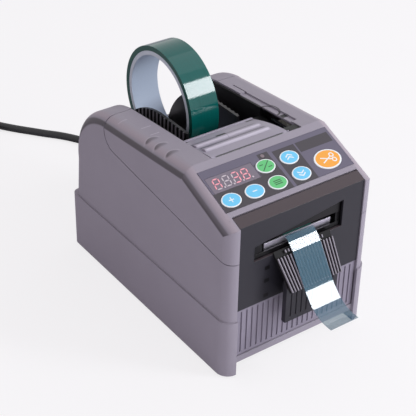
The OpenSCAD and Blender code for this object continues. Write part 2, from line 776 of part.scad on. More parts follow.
function cover_point(t) = [hinge_y + t * (roller_cover_end - hinge_y),
    hinge_z + barrel_r - roller_cover_drop * pow(t, 1.5)];
cover_line = [for (i = [0 : 10]) cover_point(i / 10)];
function cover_at(back) = cover_point(1 - back / (roller_cover_end - hinge_y));
ridge_back = [20, 31];   // distances of the grip ridges from the rear edge
ridge_h = 1.6;           // how far they stand out of the cover
ridge_inset = [2, 7];    // from the left and right side of the cover
lip_w = 3.2;             // raised bar along the rear edge
lip_h = 0.9;
lip_edge = 0.4;

module roller_cover() color("#aea8b6") placed() difference() {
    union() {
        across(cover_x0, cover_x1) polygon(concat(
            cover_line, [for (i = [10 : -1 : 0]) cover_line[i] - [0, roller_cover_t]]
        ));
        rod([hinge_y, hinge_z], barrel_r, cover_x0, cover_x1);
        rod([hinge_y, hinge_z], hinge_pin_r, cover_x0 - 2.6, cover_x1 + 2.6);
        across(cover_x0 + ridge_inset[0], cover_x1 - ridge_inset[1]) intersection() {
            for (back = ridge_back) translate(cover_at(back) + [0, ridge_h - ridge_r]) circle(ridge_r);
            polygon(concat(
                [for (p = cover_line) p - [0, roller_cover_t / 2]], [[roller_cover_end, far], [hinge_y, far]]
            ));
        }
        across(cover_x0, cover_x1) polygon([
            cover_at(lip_w) - [0, lip_h], cover_at(lip_w - lip_edge) + [0, lip_h],
            cover_at(lip_edge) + [0, lip_h], cover_at(0), cover_at(0) - [0, lip_h]
        ]);
        for (x = [cover_x0, cover_x1 - cheek_t]) across(x, x + cheek_t) polygon(concat(
            [for (i = [1 : 10]) cover_line[i] - [0, roller_cover_t / 2]],
            [for (s = [1, -1]) [feed_y + s * pinch_r, pinch_z - pinch_shaft_r - 2]]
        ));
    }
    rod([feed_y, pinch_z], pinch_shaft_r + run, cover_x0 - 1, cover_x1 + 1);
}

shaft_end = 0.2;   // how far the pinch shaft stays inside the cover's cheeks
module pinch_shaft() color("#b9bcc0") placed()
    rod([feed_y, pinch_z], pinch_shaft_r, cover_x0 + shaft_end, cover_x1 - shaft_end);

module pinch_roller() color("#2a2a2d") placed() difference() {
    rod([feed_y, pinch_z], pinch_r, -pinch_len / 2, pinch_len / 2);
    rod([feed_y, pinch_z], pinch_shaft_r + run, -pinch_len, pinch_len);
}

block_top = hinge_z - 10;
block_brow = hinge_z + barrel_r - 1;
block_low = feed_z + shaft_r + 2;
block_front = open_y + 1;   // clear of the control board

module bearing_block() color("#1d1b1f") placed() difference() {
    across(cover_x1 + 0.6, bay_w / 2 - fit) polygon([
        [block_front, block_low], [bay_front - fit, block_low], [bay_front - fit, block_top],
        [hinge_y + 9, block_top], [hinge_y + 5, block_brow], [block_front, block_brow]
    ]);
    rod([hinge_y, hinge_z], hinge_pin_r + run, cover_x1, cover_x1 + 3.6);
    translate([cover_x1 + 3, bay_front - 14, block_top - 3]) cube([5, 5, 10]);
}

// Feed drive

module feed_roller() color("#2b2b2e") placed() difference() {
    rod([feed_y, feed_z], feed_r, -feed_len / 2, feed_len / 2);
    rod([feed_y, feed_z], shaft_r + run, -feed_len, feed_len);
}

module feed_shaft() color("#b9bcc0") placed()
    rod([feed_y, feed_z], shaft_r, -plate_x - plate_t - 3, gear_x + gear_t + 1);

// Gear outline with one tooth at the angle start
module gear_outline(teeth, start) {
    pitch = 360 / teeth;
    r = gear_module * teeth / 2;
    root = r - 1.25 * gear_module;
    tip = r + 0.9 * gear_module;
    polygon([for (k = [0 : teeth - 1], c = [[root, -0.3], [tip, -0.12], [tip, 0.12], [root, 0.3]])
        c[0] * [cos(start + (k + c[1]) * pitch), sin(start + (k + c[1]) * pitch)]]);
}

module feed_gear() color("#e8e4d8") placed() difference() {
    across(gear_x, gear_x + gear_t) translate([feed_y, feed_z]) gear_outline(gear_teeth, -90);
    rod([feed_y, feed_z], shaft_r + run, gear_x - 1, gear_x + gear_t + 1);
}

motor_shaft_r = 1.5;

module motor_pinion() color("#c9a24a") placed() {
    across(gear_x, gear_x + gear_t) translate([feed_y, motor_z])
        gear_outline(pinion_teeth, 90 + 180 / pinion_teeth);
    rod([feed_y, motor_z], motor_shaft_r, plate_x - 3, gear_x + 1);
}

module feed_motor() color("#85888c") placed() difference() {
    rod([feed_y, motor_z], motor_r, plate_x - motor_len, plate_x);
    rod([feed_y, motor_z], motor_shaft_r + run, plate_x - 4, plate_x + 1);
}

bearing_r = 6;

module side_plate(x0) difference() {
    across(x0, x0 + plate_t) polygon([
        [deck_y - 30, base_top], on_slope(22, board_n - 4), on_slope(50, board_n - 4),
        [deck_y + 4, deck_z - 15],
        [bay_front - 4, deck_z - 15], [bay_front - 4, base_top]
    ]);
    rod([feed_y, feed_z], bearing_r + run, x0 - 1, x0 + plate_t + 1);
}

module left_side_plate() color("#a7a9ad") placed() side_plate(-plate_x - plate_t);

module right_side_plate() color("#a7a9ad") placed() difference() {
    side_plate(plate_x);
    rod([feed_y, motor_z], motor_shaft_r + 1, plate_x - 1, plate_x + plate_t + 1);
}

module shaft_bearings() color("#b08d4a") placed() for (x = [-plate_x - plate_t, plate_x]) difference() {
    rod([feed_y, feed_z], bearing_r, x - 1, x + plate_t + 1);
    rod([feed_y, feed_z], shaft_r + run, x - 2, x + plate_t + 2);
}

// Cutter

arm_x = blade_w / 2 + 3;
arm_y = [plate_front + cover_t + 1, front_y + 32];
arm_z = [slot_z - 18, slot_z + 18];
// Ends of the two masks behind the window, which reach both arms
mask_x = [min(window_x[0] + 1, -arm_x - 1), max(window_x[1] - 1, arm_x + 1)];
carrier_low = slot_z + 9;
carrier_t = 3;
rack_y = blade_y + carrier_t;
rack_x = [blade_w / 2 - 7, blade_w / 2 - 1];
rack_teeth = 4;
rack_top = slot_z + 20.5;
cutter_teeth = 12;
cutter_r = gear_module * cutter_teeth / 2;
cutter_axis = [rack_y + 1.25 * gear_module + cutter_r, slot_z + 11.5];
cutter_motor_r = 6;
motor_side = 4.2;   // gap between the cutter motor and the casing

module cutter_frame() color("#201e23") placed() difference() {
    union() {
        for (s = [-1, 1]) mirror([s < 0 ? 1 : 0, 0, 0])
            box([arm_x, arm_y[0], arm_z[0]], [plate_x - fit, arm_y[1], arm_z[1]]);
        box([-arm_x - 1, blade_y + blade_t, arm_z[0]], [arm_x + 1, blade_y + 9, slot_z - 3]);
        box([mask_x[0], arm_y[0] - 0.6, slot_z + 3.5], [mask_x[1], arm_y[0] + 0.4, arm_z[1]]);
        box([mask_x[0], arm_y[0] - 0.6, arm_z[0]], [mask_x[1], arm_y[0] + 0.4, slot_z - 5]);
    }
    rod(cutter_axis, cutter_motor_r + run, arm_x - 1, plate_x + 1);
}

module fixed_blade() color("#c7cbd0") placed()
    box([-blade_w / 2, blade_y, slot_z - 14], [blade_w / 2, blade_y + blade_t, slot_z - 0.7]);

module moving_blade() color("#d3d6da") placed() translate([0, blade_y - blade_gap, 0]) rotate([90, 0, 0])
    linear_extrude(height = blade_t) polygon([
        [-blade_w / 2, slot_z + 3.5], [-4, slot_z + 3.5], [0, slot_z + 2], [4, slot_z + 3.5],
        [blade_w / 2, slot_z + 3.5], [blade_w / 2, slot_z + 17], [-blade_w / 2, slot_z + 17]
    ]);

module blade_carrier() color("#54565c") placed() {
    box([-blade_w / 2, blade_y - blade_gap, carrier_low], [blade_w / 2, rack_y, slot_z + 17]);
    across(rack_x[0], rack_x[1]) for (k = [0 : rack_teeth - 1]) {
        pitch = PI * gear_module;
        z = cutter_axis[1] + (k - 1 + 0.5) * pitch;
        polygon([
            [rack_y - 0.5, z - 0.3 * pitch], [rack_y, z - 0.3 * pitch],
            [rack_y + 2.15 * gear_module, z - 0.12 * pitch], [rack_y + 2.15 * gear_module, z + 0.12 * pitch],
            [rack_y, z + 0.3 * pitch], [rack_y - 0.5, z + 0.3 * pitch]
        ]);
    }
    across(rack_x[0], rack_x[1]) polygon([
        [blade_y, carrier_low], [rack_y, carrier_low], [rack_y, rack_top], [blade_y, rack_top]
    ]);
}

module cutter_pinion() color("#c9a24a") placed() {
    across(rack_x[0], rack_x[1]) translate(cutter_axis) gear_outline(cutter_teeth, 180);
    rod(cutter_axis, motor_shaft_r, rack_x[1] - 1, arm_x + 3);
}

module cutter_motor() color("#85888c") placed() difference() {
    rod(cutter_axis, cutter_motor_r, arm_x, upper_half - wall - motor_side);
    rod(cutter_axis, motor_shaft_r + run, arm_x - 1, arm_x + 4);
}

module safety_switch() color("#2c2c30") placed() {
    box([-plate_x + 2, arm_y[0] + 1, arm_z[1]], [-plate_x + 10, arm_y[0] + 7, arm_z[1] + 4.5]);
}

// Tape roll and what carries it

module ring(p, r_out, r_in, w) difference() {
    rod(p, r_out, -w / 2, w / 2);
    rod(p, r_in, -w, w);
}

module tape_core() color("#e6ebf2") placed() ring(roll_c, core_d / 2, core_bore / 2, tape_w);

module tape_roll() color("#0d5f55") placed() ring(roll_c, roll_r, core_d / 2 + eps, tape_w);

module tape_web() color("#17806f") placed() film(web_path, tape_w);

module cradle_rods() color("#b9bcc0") placed() for (p = [front_rod, rear_rod])
    rod(p, rod_r, -liner_half - 1, liner_half + 1);

module front_cradle_roller() color("#3a3a3e") placed()
    ring(front_rod, cradle_r, rod_r + run, guide_gap - 1);

module rear_cradle_roller() color("#3a3a3e") placed() ring(rear_rod, cradle_r, rod_r + run, guide_gap - 1);

guide_r = 61.5;
guide_c = [roll_y - 22, bay_floor + 12];
guide_rib = 2;
guide_pitch = 5;

guide_front = bay_front + 7;

module guide_outline() intersection() {
    union() {
        translate(guide_c) circle(guide_r, $fn = 96);
        translate([bay_front, bay_floor]) square([guide_c[0] - bay_front, guide_r + 12]);
    }
    translate([guide_front, bay_floor + fit])
        square([liner_rear - liner_t - fit - guide_front, guide_r + 12]);
}

// Guide on the right of the tape, with upright ribs on its outer face
module guide() difference() {
    union() {
        across(guide_x, guide_x + guide_t - 0.8) guide_outline();
        intersection() {
            across(guide_x, guide_x + guide_t) guide_outline();
            for (y = [bay_front + 9 : guide_pitch : liner_rear - 3])
                box([guide_x, y, bay_floor], [guide_x + guide_t, y + guide_rib, far]);
        }
    }
    for (p = [front_rod, rear_rod]) rod(p, rod_r + run, 0, bay_w);
}

module left_guide() color("#1d1b1f") placed() mirror([1, 0, 0]) guide();

module right_guide() color("#1d1b1f") placed() guide();

// Power pieces

module transformer() color("#7b7f86") placed() {
    box([-28, deck_y - 16, base_top], [22, deck_y + 28, base_top + 34]);
    box([-16, deck_y - 10, base_top + 34], [10, deck_y + 22, base_top + 42]);
}

module main_board() color("#2f6b4a") placed() {
    box([-40, 0, base_top + post_h], [40, 80, base_top + post_h + 1.6]);
    box([-30, 14, base_top + post_h + 1], [-12, 40, base_top + post_h + 18]);
    for (x = [4, 20]) translate([x, 26, base_top + post_h + 1]) cylinder(r = 6, h = 22);
}

rocker_axis = [rear_y - 1.2, switch_z];
rocker_w = 14;

module power_switch() color("#222226") placed() difference() {
    union() {
        box([switch_x - switch_w / 2 + run, rear_y - 16, switch_z - switch_h / 2 + run],
            [switch_x + switch_w / 2 - run, rear_y, switch_z + switch_h / 2 - run]);
        box([switch_x - switch_w / 2 - 2, rear_y, switch_z - switch_h / 2 - 2],
            [switch_x + switch_w / 2 + 2, rear_y + 1, switch_z + switch_h / 2 + 2]);
    }
    box([switch_x - rocker_w / 2 - fit, rear_y - 7, switch_z - 6.1],
        [switch_x + rocker_w / 2 + fit, rear_y + 2, switch_z + 6.1]);
    rod(rocker_axis, 1 + run, switch_x - rocker_w / 2 - 2, switch_x + rocker_w / 2 + 2);
}

module power_rocker() color("#8c1f24") placed() {
    across(switch_x - rocker_w / 2, switch_x + rocker_w / 2) translate(rocker_axis)
        polygon([[-4, -5.2], [rocker_proud + 1.2, -5.2], [1.6, 0], [rocker_proud + 1.2, 5.2], [-4, 5.2]]);
    rod(rocker_axis, 1, switch_x - rocker_w / 2 - 1.6, switch_x + rocker_w / 2 + 1.6);
}

gland_end = cord_route[0][1] - origin_shift;

module cord_gland() color("#1a1a1c") placed() translate([gland_x, 0, gland_z]) rotate([-90, 0, 0]) {
    translate([0, 0, rear_y - 8]) cylinder(r = gland_r, h = 9);
    translate([0, 0, rear_y]) cylinder(r = gland_r + 3, h = 3);
    translate([0, 0, rear_y + 3])
        cylinder(r1 = gland_r + 0.5, r2 = cord_d / 2 + 1, h = gland_end - rear_y - 3);
}

// Tube of radius r along a path that never runs upright
module tube(path, r, sides) {
    last = len(path) - 1;
    ahead = [for (i = [0 : last]) path[min(i + 1, last)] - path[max(i - 1, 0)]];
    rings = [for (i = [0 : last])
        let (t = ahead[i] / norm(ahead[i]), s = cross(t, [0, 0, 1]), side = s / norm(s), up = cross(side, t))
        for (j = [0 : sides - 1]) path[i] + r * (cos(360 * j / sides) * side + sin(360 * j / sides) * up)];
    polyhedron(rings, concat(
        [for (i = [0 : last - 1], j = [0 : sides - 1]) let (k = (j + 1) % sides)
            [i * sides + j, i * sides + k, (i + 1) * sides + k]],
        [for (i = [0 : last - 1], j = [0 : sides - 1]) let (k = (j + 1) % sides)
            [i * sides + j, (i + 1) * sides + k, (i + 1) * sides + j]],
        [for (j = [1 : sides - 2]) [0, j + 1, j]],
        [for (j = [1 : sides - 2]) [last * sides, last * sides + j, last * sides + j + 1]]
    ));
}

module power_cord() color("#141416") tube(cord_route, cord_d / 2, 10);

// The coil winds inwards, climbs a layer in half a turn where it reverses, and winds out again
function ease(x) = let (c = max(0, min(1, x))) c * c * (3 - 2 * c);
function coil_point(u) = let (r = coil_r_in + coil_pitch * abs(coil_turns - u), a = coil_start + 360 * u)
    [coil_c[0] + r * cos(a), coil_c[1] + r * sin(a), coil_z + coil_pitch * ease((u - coil_turns) * 2 + 0.5)];
coil_count = 2 * coil_turns * coil_rings;
coil_turned = [for (i = [0 : coil_count]) coil_point(i / coil_rings)];
coil_out = [-sin(coil_start), cos(coil_start), 0];
coil_path = concat(coil_turned, [for (i = [1, 2]) coil_turned[coil_count] + i * cord_d * coil_out]);
coil_gap = min([
    for (i = [0 : coil_count], j = [i + coil_rings / 2 : coil_count]) norm(coil_turned[i] - coil_turned[j])
]) - cord_d;
function path_length(p) = len(p) < 2 ? 0 : norm(p[1] - p[0]) + path_length([for (i = [1 : len(p) - 1]) p[i]]);
echo(coil_gap = coil_gap, cord_length = path_length(cord_route) + path_length(coil_path));

module cord_coil() color("#141416") tube(coil_path, cord_d / 2, 6);

tie_t = 0.9;
tie_w = 6;

module cord_tie() color("#2a2a2c") translate([coil_c[0], coil_c[1], 0]) rotate([0, 0, coil_start + 180]) {
    r0 = coil_r_in - cord_d / 2 - 0.4;
    r1 = coil_r + cord_d / 2 + 0.4;
    top = coil_z + coil_pitch + cord_d / 2 + 0.4;
    difference() {
        box([r0 - tie_t, -tie_w / 2, coil_z - cord_d / 2 - 0.4 - tie_t],
            [r1 + tie_t, tie_w / 2, top + tie_t]);
        box([r0, -tie_w, coil_z - cord_d / 2 - 0.4], [r1, tie_w, top]);
    }
}

plug_at = coil_path[len(coil_path) - 1];
plug_r = plug_at[2] - 0.2;

module plug() color("#18181a") translate(plug_at) rotate([0, 0, coil_start + 90]) rotate([0, 90, 0]) {
    cylinder(r1 = cord_d / 2 + 1, r2 = cord_d / 2 + 2.5, h = 16);
    translate([0, 0, 16]) cylinder(r1 = cord_d / 2 + 3, r2 = plug_r, h = 14);
    translate([0, 0, 30]) cylinder(r = plug_r, h = 8);
    for (s = [-1, 1]) translate([0, s * 9.5 / 1.6, 38 - eps]) cylinder(r = 2.2, h = 18);
}

main_casing();
top_cover();
base_plate();
rubber_feet();
base_screws();
front_panel();
bay_liner();
panel_overlay();
display_window();
display_module();
status_led();
control_board();
key_switches();
key_plus();
key_minus();
key_select();
key_mode();
key_up();
key_down();
key_cut();
cutter_cover();
outlet_ramp();
lower_chute();
tape_tail();
roller_cover();
pinch_shaft();
pinch_roller();
bearing_block();
feed_roller();
feed_shaft();
feed_gear();
motor_pinion();
feed_motor();
left_side_plate();
right_side_plate();
shaft_bearings();
cutter_frame();
fixed_blade();
moving_blade();
blade_carrier();
cutter_pinion();
cutter_motor();
safety_switch();
tape_core();
tape_roll();
tape_web();
cradle_rods();
front_cradle_roller();
rear_cradle_roller();
left_guide();
right_guide();
transformer();
main_board();
power_switch();
power_rocker();
cord_gland();
power_cord();
cord_coil();
cord_tie();
plug();
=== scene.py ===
from math import cos, pi, radians, sin

import bmesh
import bpy
from bmesh.types import BMEdge, BMFace, BMVert
from mathutils import Matrix, Quaternion, Vector


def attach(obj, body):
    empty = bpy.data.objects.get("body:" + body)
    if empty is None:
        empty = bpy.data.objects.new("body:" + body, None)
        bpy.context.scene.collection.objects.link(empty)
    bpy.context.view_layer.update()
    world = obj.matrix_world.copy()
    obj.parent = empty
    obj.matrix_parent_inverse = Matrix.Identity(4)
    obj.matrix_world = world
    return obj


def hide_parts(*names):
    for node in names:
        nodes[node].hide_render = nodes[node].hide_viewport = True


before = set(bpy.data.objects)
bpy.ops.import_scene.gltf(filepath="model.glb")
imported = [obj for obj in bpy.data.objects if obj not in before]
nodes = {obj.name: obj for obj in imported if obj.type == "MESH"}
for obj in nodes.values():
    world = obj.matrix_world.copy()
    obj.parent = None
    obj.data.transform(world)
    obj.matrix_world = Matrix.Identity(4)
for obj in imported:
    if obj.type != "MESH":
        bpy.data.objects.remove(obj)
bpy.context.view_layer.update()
print("frame loaded,", len(nodes), "nodes")

mm = 0.001
casingY = 23.5506  # the casing's middle in the shared frame
slope = radians(22)  # control panel
panelFoot = (-104.8, 128)  # lower edge of the panel


def at(x, y, z):  # casing millimetres to the shared frame
    return Vector((x, y + casingY, z)) * mm


def onPanel(x, s):  # s up the slope
    return at(x, panelFoot[0] + s * cos(slope), panelFoot[1] + s * sin(slope))


def panelMatrix(x, s):  # panel millimetres around a spot to the shared frame
    turn = Matrix.Rotation(slope, 4, "X")
    return Matrix.Translation(onPanel(x, s)) @ turn @ Matrix.Scale(mm, 4)


# camera from the photo's frame, 416 x 416
cameraSet = {
    "lens": 105.16,
    "sensor": 36,
    "near": 0.05,
    "azimuth": -36.34,
    "elevation": 33.85,
    "roll": -1.29,
    "place": (-0.46678, -0.60287, 0.59080),
}


def makeCamera():
    azimuth, elevation, roll = (radians(cameraSet[k]) for k in ("azimuth", "elevation", "roll"))
    back = Vector((sin(azimuth) * cos(elevation), -cos(azimuth) * cos(elevation), sin(elevation)))
    right = (-back).cross(Vector((0, 0, 1))).normalized()
    down = (-back).cross(right)
    right, down = right * cos(roll) + down * sin(roll), down * cos(roll) - right * sin(roll)
    data = bpy.data.cameras.new("camera")
    data.lens = cameraSet["lens"]
    data.sensor_width = cameraSet["sensor"]
    data.clip_start = cameraSet["near"]
    view = bpy.data.objects.new("camera", data)
    turn = Matrix((right, -down, back)).transposed().to_4x4()
    view.matrix_world = Matrix.Translation(cameraSet["place"]) @ turn
    bpy.context.scene.collection.objects.link(view)
    bpy.context.scene.camera = view


makeCamera()
print("camera set")


# shader maths on sockets
class Sock:
    def __init__(self, paint, socket):
        self.paint = paint
        self.socket = socket

    def calc(self, how, other=0.0, swap=False, clamp=False):
        pair = (other, self) if swap else (self, other)
        settings = {"operation": how, "use_clamp": clamp}
        return self.paint.add("ShaderNodeMath", settings, {0: pair[0], 1: pair[1]})

    def __add__(self, other):
        return self.calc("ADD", other)

    def __sub__(self, other):
        return self.calc("SUBTRACT", other)

    def __rsub__(self, other):
        return self.calc("SUBTRACT", other, swap=True)

    def __mul__(self, other):
        return self.calc("MULTIPLY", other)

    def __truediv__(self, other):
        return self.calc("DIVIDE", other)

    def __pow__(self, other):
        return self.calc("POWER", other)

    def __abs__(self):
        return self.calc("ABSOLUTE")

    __radd__ = __add__

    def most(self, other):
        return self.calc("MAXIMUM", other)

    def least(self, other):
        return self.calc("MINIMUM", other)

    def root(self):
        return self.calc("SQRT")

    def wave(self):
        return self.calc("SINE")

    def clip(self):
        return self.calc("ADD", 0.0, clamp=True)


def tint(code):  # screen colour to linear
    parts = [int(code[i : i + 2], 16) / 255 for i in (1, 3, 5)]
    return tuple(c / 12.92 if c <= 0.04045 else ((c + 0.055) / 1.055) ** 2.4 for c in parts)


class Paint:
    def __init__(self, name):
        self.mat = bpy.data.materials.new(name)
        self.mat.use_nodes = True
        self.tree = self.mat.node_tree
        self.tree.nodes.clear()

    def add(self, kind, settings=None, sockets=None, out=0):
        node = self.tree.nodes.new(kind)
        for key, value in (settings or {}).items():
            setattr(node, key, value)
        for key, value in (sockets or {}).items():
            entry = node.inputs[key]
            if isinstance(value, Sock):
                self.tree.links.new(value.socket, entry)
            elif isinstance(value, tuple) and len(value) == 3 and len(entry.default_value) == 4:
                entry.default_value = value + (1.0,)
            else:
                entry.default_value = value
        return Sock(self, node.outputs[out])

    def place(self, origin=(0, 0, 0), turn=(0, 0, 0)):  # object coordinates in millimetres
        spot = self.add("ShaderNodeTexCoord", out="Object")
        sockets = {"Vector": spot, "Location": tuple(origin), "Rotation": turn, "Scale": (mm,) * 3}
        return self.add("ShaderNodeMapping", {"vector_type": "TEXTURE"}, sockets)

    def split(self, vector):
        node = self.add("ShaderNodeSeparateXYZ", None, {0: vector}).socket.node
        return [Sock(self, socket) for socket in node.outputs]

    def noise(self, vector, size, detail=2.0, rough=0.5):
        sockets = {"Vector": vector, "Scale": 1 / size, "Detail": detail, "Roughness": rough}
        return self.add("ShaderNodeTexNoise", None, sockets)

    def layers(self, reach, count, detail):  # noise along one value
        sockets = {"W": reach * count, "Scale": 1.0, "Detail": detail}
        return self.add("ShaderNodeTexNoise", {"noise_dimensions": "1D"}, sockets)

    def vector(self, how, sockets, out=0):
        return self.add("ShaderNodeVectorMath", {"operation": how}, sockets, out)

    def stretch(self, vector, x, y, z):
        return self.vector("MULTIPLY", {0: vector, 1: (x, y, z)})

    def tone(self, colour, amount):  # colour made lighter or darker by a value
        return self.vector("SCALE", {0: colour, "Scale": amount})

    def blend(self, first, second, mask):
        return self.add("ShaderNodeMix", {"data_type": "RGBA"}, {0: mask, 6: first, 7: second}, 2)

    def normal(self):  # turns with the piece
        return self.add("ShaderNodeTexCoord", out="Normal")

    def softEdges(self, radius):
        return self.add("ShaderNodeBevel", {"samples": 4}, {"Radius": radius * mm})

    def edges(self, soft, gain=3.0):  # where a soft edge turns away from its faces
        flat = self.add("ShaderNodeNewGeometry", out="Normal")
        alike = self.vector("DOT_PRODUCT", {0: soft, 1: flat}, "Value")
        return ((1 - alike) * gain).clip()

    def bump(self, height, strength, depth, under=None):
        sockets = {"Height": height, "Strength": strength, "Distance": depth * mm}
        if under is not None:
            sockets["Normal"] = under
        return self.add("ShaderNodeBump", None, sockets)

    def surface(self, **sockets):
        words = {key.replace("_", " "): value for key, value in sockets.items()}
        self.close(self.add("ShaderNodeBsdfPrincipled", None, words))
        return self.mat

    def close(self, shader):
        end = self.tree.nodes.new("ShaderNodeOutputMaterial")
        self.tree.links.new(shader.socket, end.inputs["Surface"])


# masks from distances in millimetres, below zero inside
def inside(distance, soft):
    return (0.5 - distance * (0.5 / soft)).clip()


def block(u, v, halfU, halfV):
    return (abs(u) - halfU).most(abs(v) - halfV)


def reachOf(u, v):
    return (u * u + v * v).root()


def hoop(u, v, radius, half):
    return abs(reachOf(u, v) - radius) - half


def bar(u, v, angle, centre, halfLong, halfWide):  # a bar turned by an angle in degrees
    c, s = cos(radians(angle)), sin(radians(angle))
    along = u * c + v * s - centre
    return block(along, v * c - u * s, halfLong, halfWide)


def plastic(name, colour, rough, grain, size, soft, edgeLift, level=0.5, marks=None):
    p = Paint(name)
    spot = p.place()
    fine = p.noise(spot, size, 2.0, 0.6)
    broad = p.noise(spot, 38, 3.0, 0.55)
    base = p.tone(tint(colour), 0.9 + broad * 0.12 + fine * 0.08)
    rounded = p.softEdges(soft)
    light = tuple(min(1.0, c * 1.35 + 0.02) for c in tint(colour))
    # lighter colour along the soft edges
    base = p.blend(base, light, p.edges(rounded) * edgeLift)
    shine = rough - 0.06 + fine * 0.08 + broad * 0.05
    height = fine
    if marks:
        base, shine, height = marks(p, spot, base, shine, height)
    facing = p.bump(height, grain, 0.06, rounded)
    return p.surface(Base_Color=base, Roughness=shine, Normal=facing, Specular_IOR_Level=level)


def metal(name, colour, rough, along=(0.04, 1, 1), soft=0.3):
    p = Paint(name)
    spot = p.place()
    lines = p.noise(p.stretch(spot, *along), 0.35, 3.0, 0.6)
    broad = p.noise(spot, 14, 2.0)
    base = p.tone(tint(colour), 0.86 + lines * 0.16 + broad * 0.1)
    facing = p.bump(lines, 0.12, 0.03, p.softEdges(soft))
    shine = rough - 0.08 + lines * 0.16
    return p.surface(Base_Color=base, Metallic=1.0, Roughness=shine, Normal=facing)


def dress(material, *names):
    for name in names:
        mesh = nodes[name].data
        mesh.materials.clear()
        mesh.materials.append(material)
        for face in mesh.polygons:
            face.material_index = 0


bevelKind = {"profile": 0.5, "affect": "EDGES", "material": -1}


def only(kind, geom):
    return [g for g in geom if isinstance(g, kind)]


def keep(bm, name, material, body, replaced=(), smooth=35):
    mesh = bpy.data.meshes.new(name)
    bm.to_mesh(mesh)
    bm.free()
    piece = bpy.data.objects.new(name, mesh)
    bpy.context.scene.collection.objects.link(piece)
    for each in material if isinstance(material, list) else [material]:
        mesh.materials.append(each)
    mesh.shade_smooth()
    mesh.set_sharp_from_angle(angle=radians(smooth))
    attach(piece, body)
    if replaced:
        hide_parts(*replaced)


def smoothPath(points, steps):  # a curve through the points
    ends = [Vector(p) for p in (points[0], *points, points[-1])]
    path = []
    for a, b, c, d in zip(ends, ends[1:], ends[2:], ends[3:]):
        for i in range(steps):
            u = i / steps
            bend = (a * 2 - b * 5 + c * 4 - d) * u**2
            twist = (b * 3 - a - c * 3 + d) * u**3
            path.append((b * 2 + (c - a) * u + bend + twist) / 2)
    return path + [ends[-1]]


# power lead: out of the gland, over the table, then two layers of turns
cordSet = {
    "look": ("lead_jacket", "#17161a", 0.45, 0.12, 0.6, 0.2, 0.0),
    "thick": 7,
    "steps": 2,
    "route": [
        (38, 156, 18), (38, 166, 18), (38, 178, 15.5), (37, 191, 10.5), (36, 204, 5.8),
        (34, 218, 4.2), (31, 233, 3.6), (26.5, 247, 3.6), (21, 260, 3.6), (14, 272, 3.6),
        (6, 283, 3.6), (-2, 292, 3.6), (-10, 302, 3.6), (-19, 313, 3.6), (-28, 325, 3.7),
        (-37, 338, 4), (-46, 351, 4.5), (-53, 361, 4.8),
    ],
    "coil": {
        "centre": (-98, 342), "start": 35, "height": 4.9, "pitch": 7.8,
        "inner": 28.5, "turns": 2.5, "rings": 24,
    },
}


def coilPoint(u):
    c = cordSet["coil"]
    x, y = c["centre"]
    r = c["inner"] + c["pitch"] * abs(c["turns"] - u)
    a = radians(c["start"] + 360 * u)
    t = min(1, max(0, (u - c["turns"]) * 2 + 0.5))
    rise = c["pitch"] * t * t * (3 - 2 * t)
    return (x + r * cos(a), y + r * sin(a), c["height"] + rise)


def leadPath():
    c = cordSet["coil"]
    count = int(2 * c["turns"] * c["rings"])
    path = [Vector(p) for p in cordSet["route"]]
    path += [Vector(coilPoint(i / c["rings"])) for i in range(count + 1)]
    a = radians(c["start"])
    path += [path[-1] + Vector((-sin(a), cos(a), 0)) * cordSet["thick"] * k for k in (1, 2)]
    return smoothPath(path, cordSet["steps"])


def makeCord():
    path = leadPath()
    curve = bpy.data.curves.new("power_lead", "CURVE")
    curve.dimensions = "3D"
    curve.bevel_depth = cordSet["thick"] / 2 * mm
    curve.bevel_resolution = 4
    curve.use_fill_caps = True
    line = curve.splines.new("POLY")
    line.points.add(len(path) - 1)
    for point, spot in zip(line.points, path):
        point.co = (*(spot * mm), 1)
    line.use_smooth = True
    lead = bpy.data.objects.new("power_lead", curve)
    bpy.context.scene.collection.objects.link(lead)
    curve.materials.append(plastic(*cordSet["look"]))
    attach(lead, "casing")
    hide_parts("power_cord", "cord_coil")
    long = sum((path[i + 1] - path[i]).length for i in range(len(path) - 1)) * mm
    print("lead is", round(long, 4), "m long")


makeCord()

# plain plastics: pieces, then colour, roughness, grain, grain size, edge radius, edge lightening,
# specular
plasticSet = {
    "front_moulding": (["front_panel"], "#8d8796", 0.48, 0.2, 0.5, 0.3, 0.15, 0.4),
    "black_moulding": (
        ["cutter_frame", "bearing_block", "display_module"],
        "#0e0d10", 0.36, 0.2, 0.45, 0.3, 0.25, 0.3,
    ),
    "bay_moulding": (["bay_liner"], "#100f12", 0.5, 0.25, 0.5, 0.3, 0.15, 0.25),
    "base_moulding": (["base_plate"], "#2c2a30", 0.55, 0.3, 0.6, 0.4, 0.15),
    "foot_rubber": (["rubber_feet", "cord_gland"], "#1b1b1d", 0.75, 0.35, 0.35, 0.5, 0.1, 0.3),
    "roller_rubber": (
        ["feed_roller", "pinch_roller", "front_cradle_roller", "rear_cradle_roller"],
        "#262629", 0.65, 0.3, 0.3, 0.3, 0.1, 0.35,
    ),
    "plug_moulding": (["plug"], "#19181b", 0.42, 0.2, 0.5, 0.6, 0.2),
    "tie_wire": (["cord_tie"], "#2a2a2c", 0.4, 0.15, 0.4, 0.3, 0.2),
    "gear_nylon": (
        ["feed_gear", "cutter_pinion", "blade_carrier"],
        "#d9d6cc", 0.42, 0.15, 0.5, 0.2, 0.1,
    ),
    "switch_body": (
        ["power_switch", "power_rocker", "safety_switch", "key_switches"],
        "#222125", 0.35, 0.12, 0.4, 0.3, 0.25,
    ),
    "display_tint": (["display_window"], "#736a78", 0.22, 0.04, 0.6, 0.2, 0.1),
}
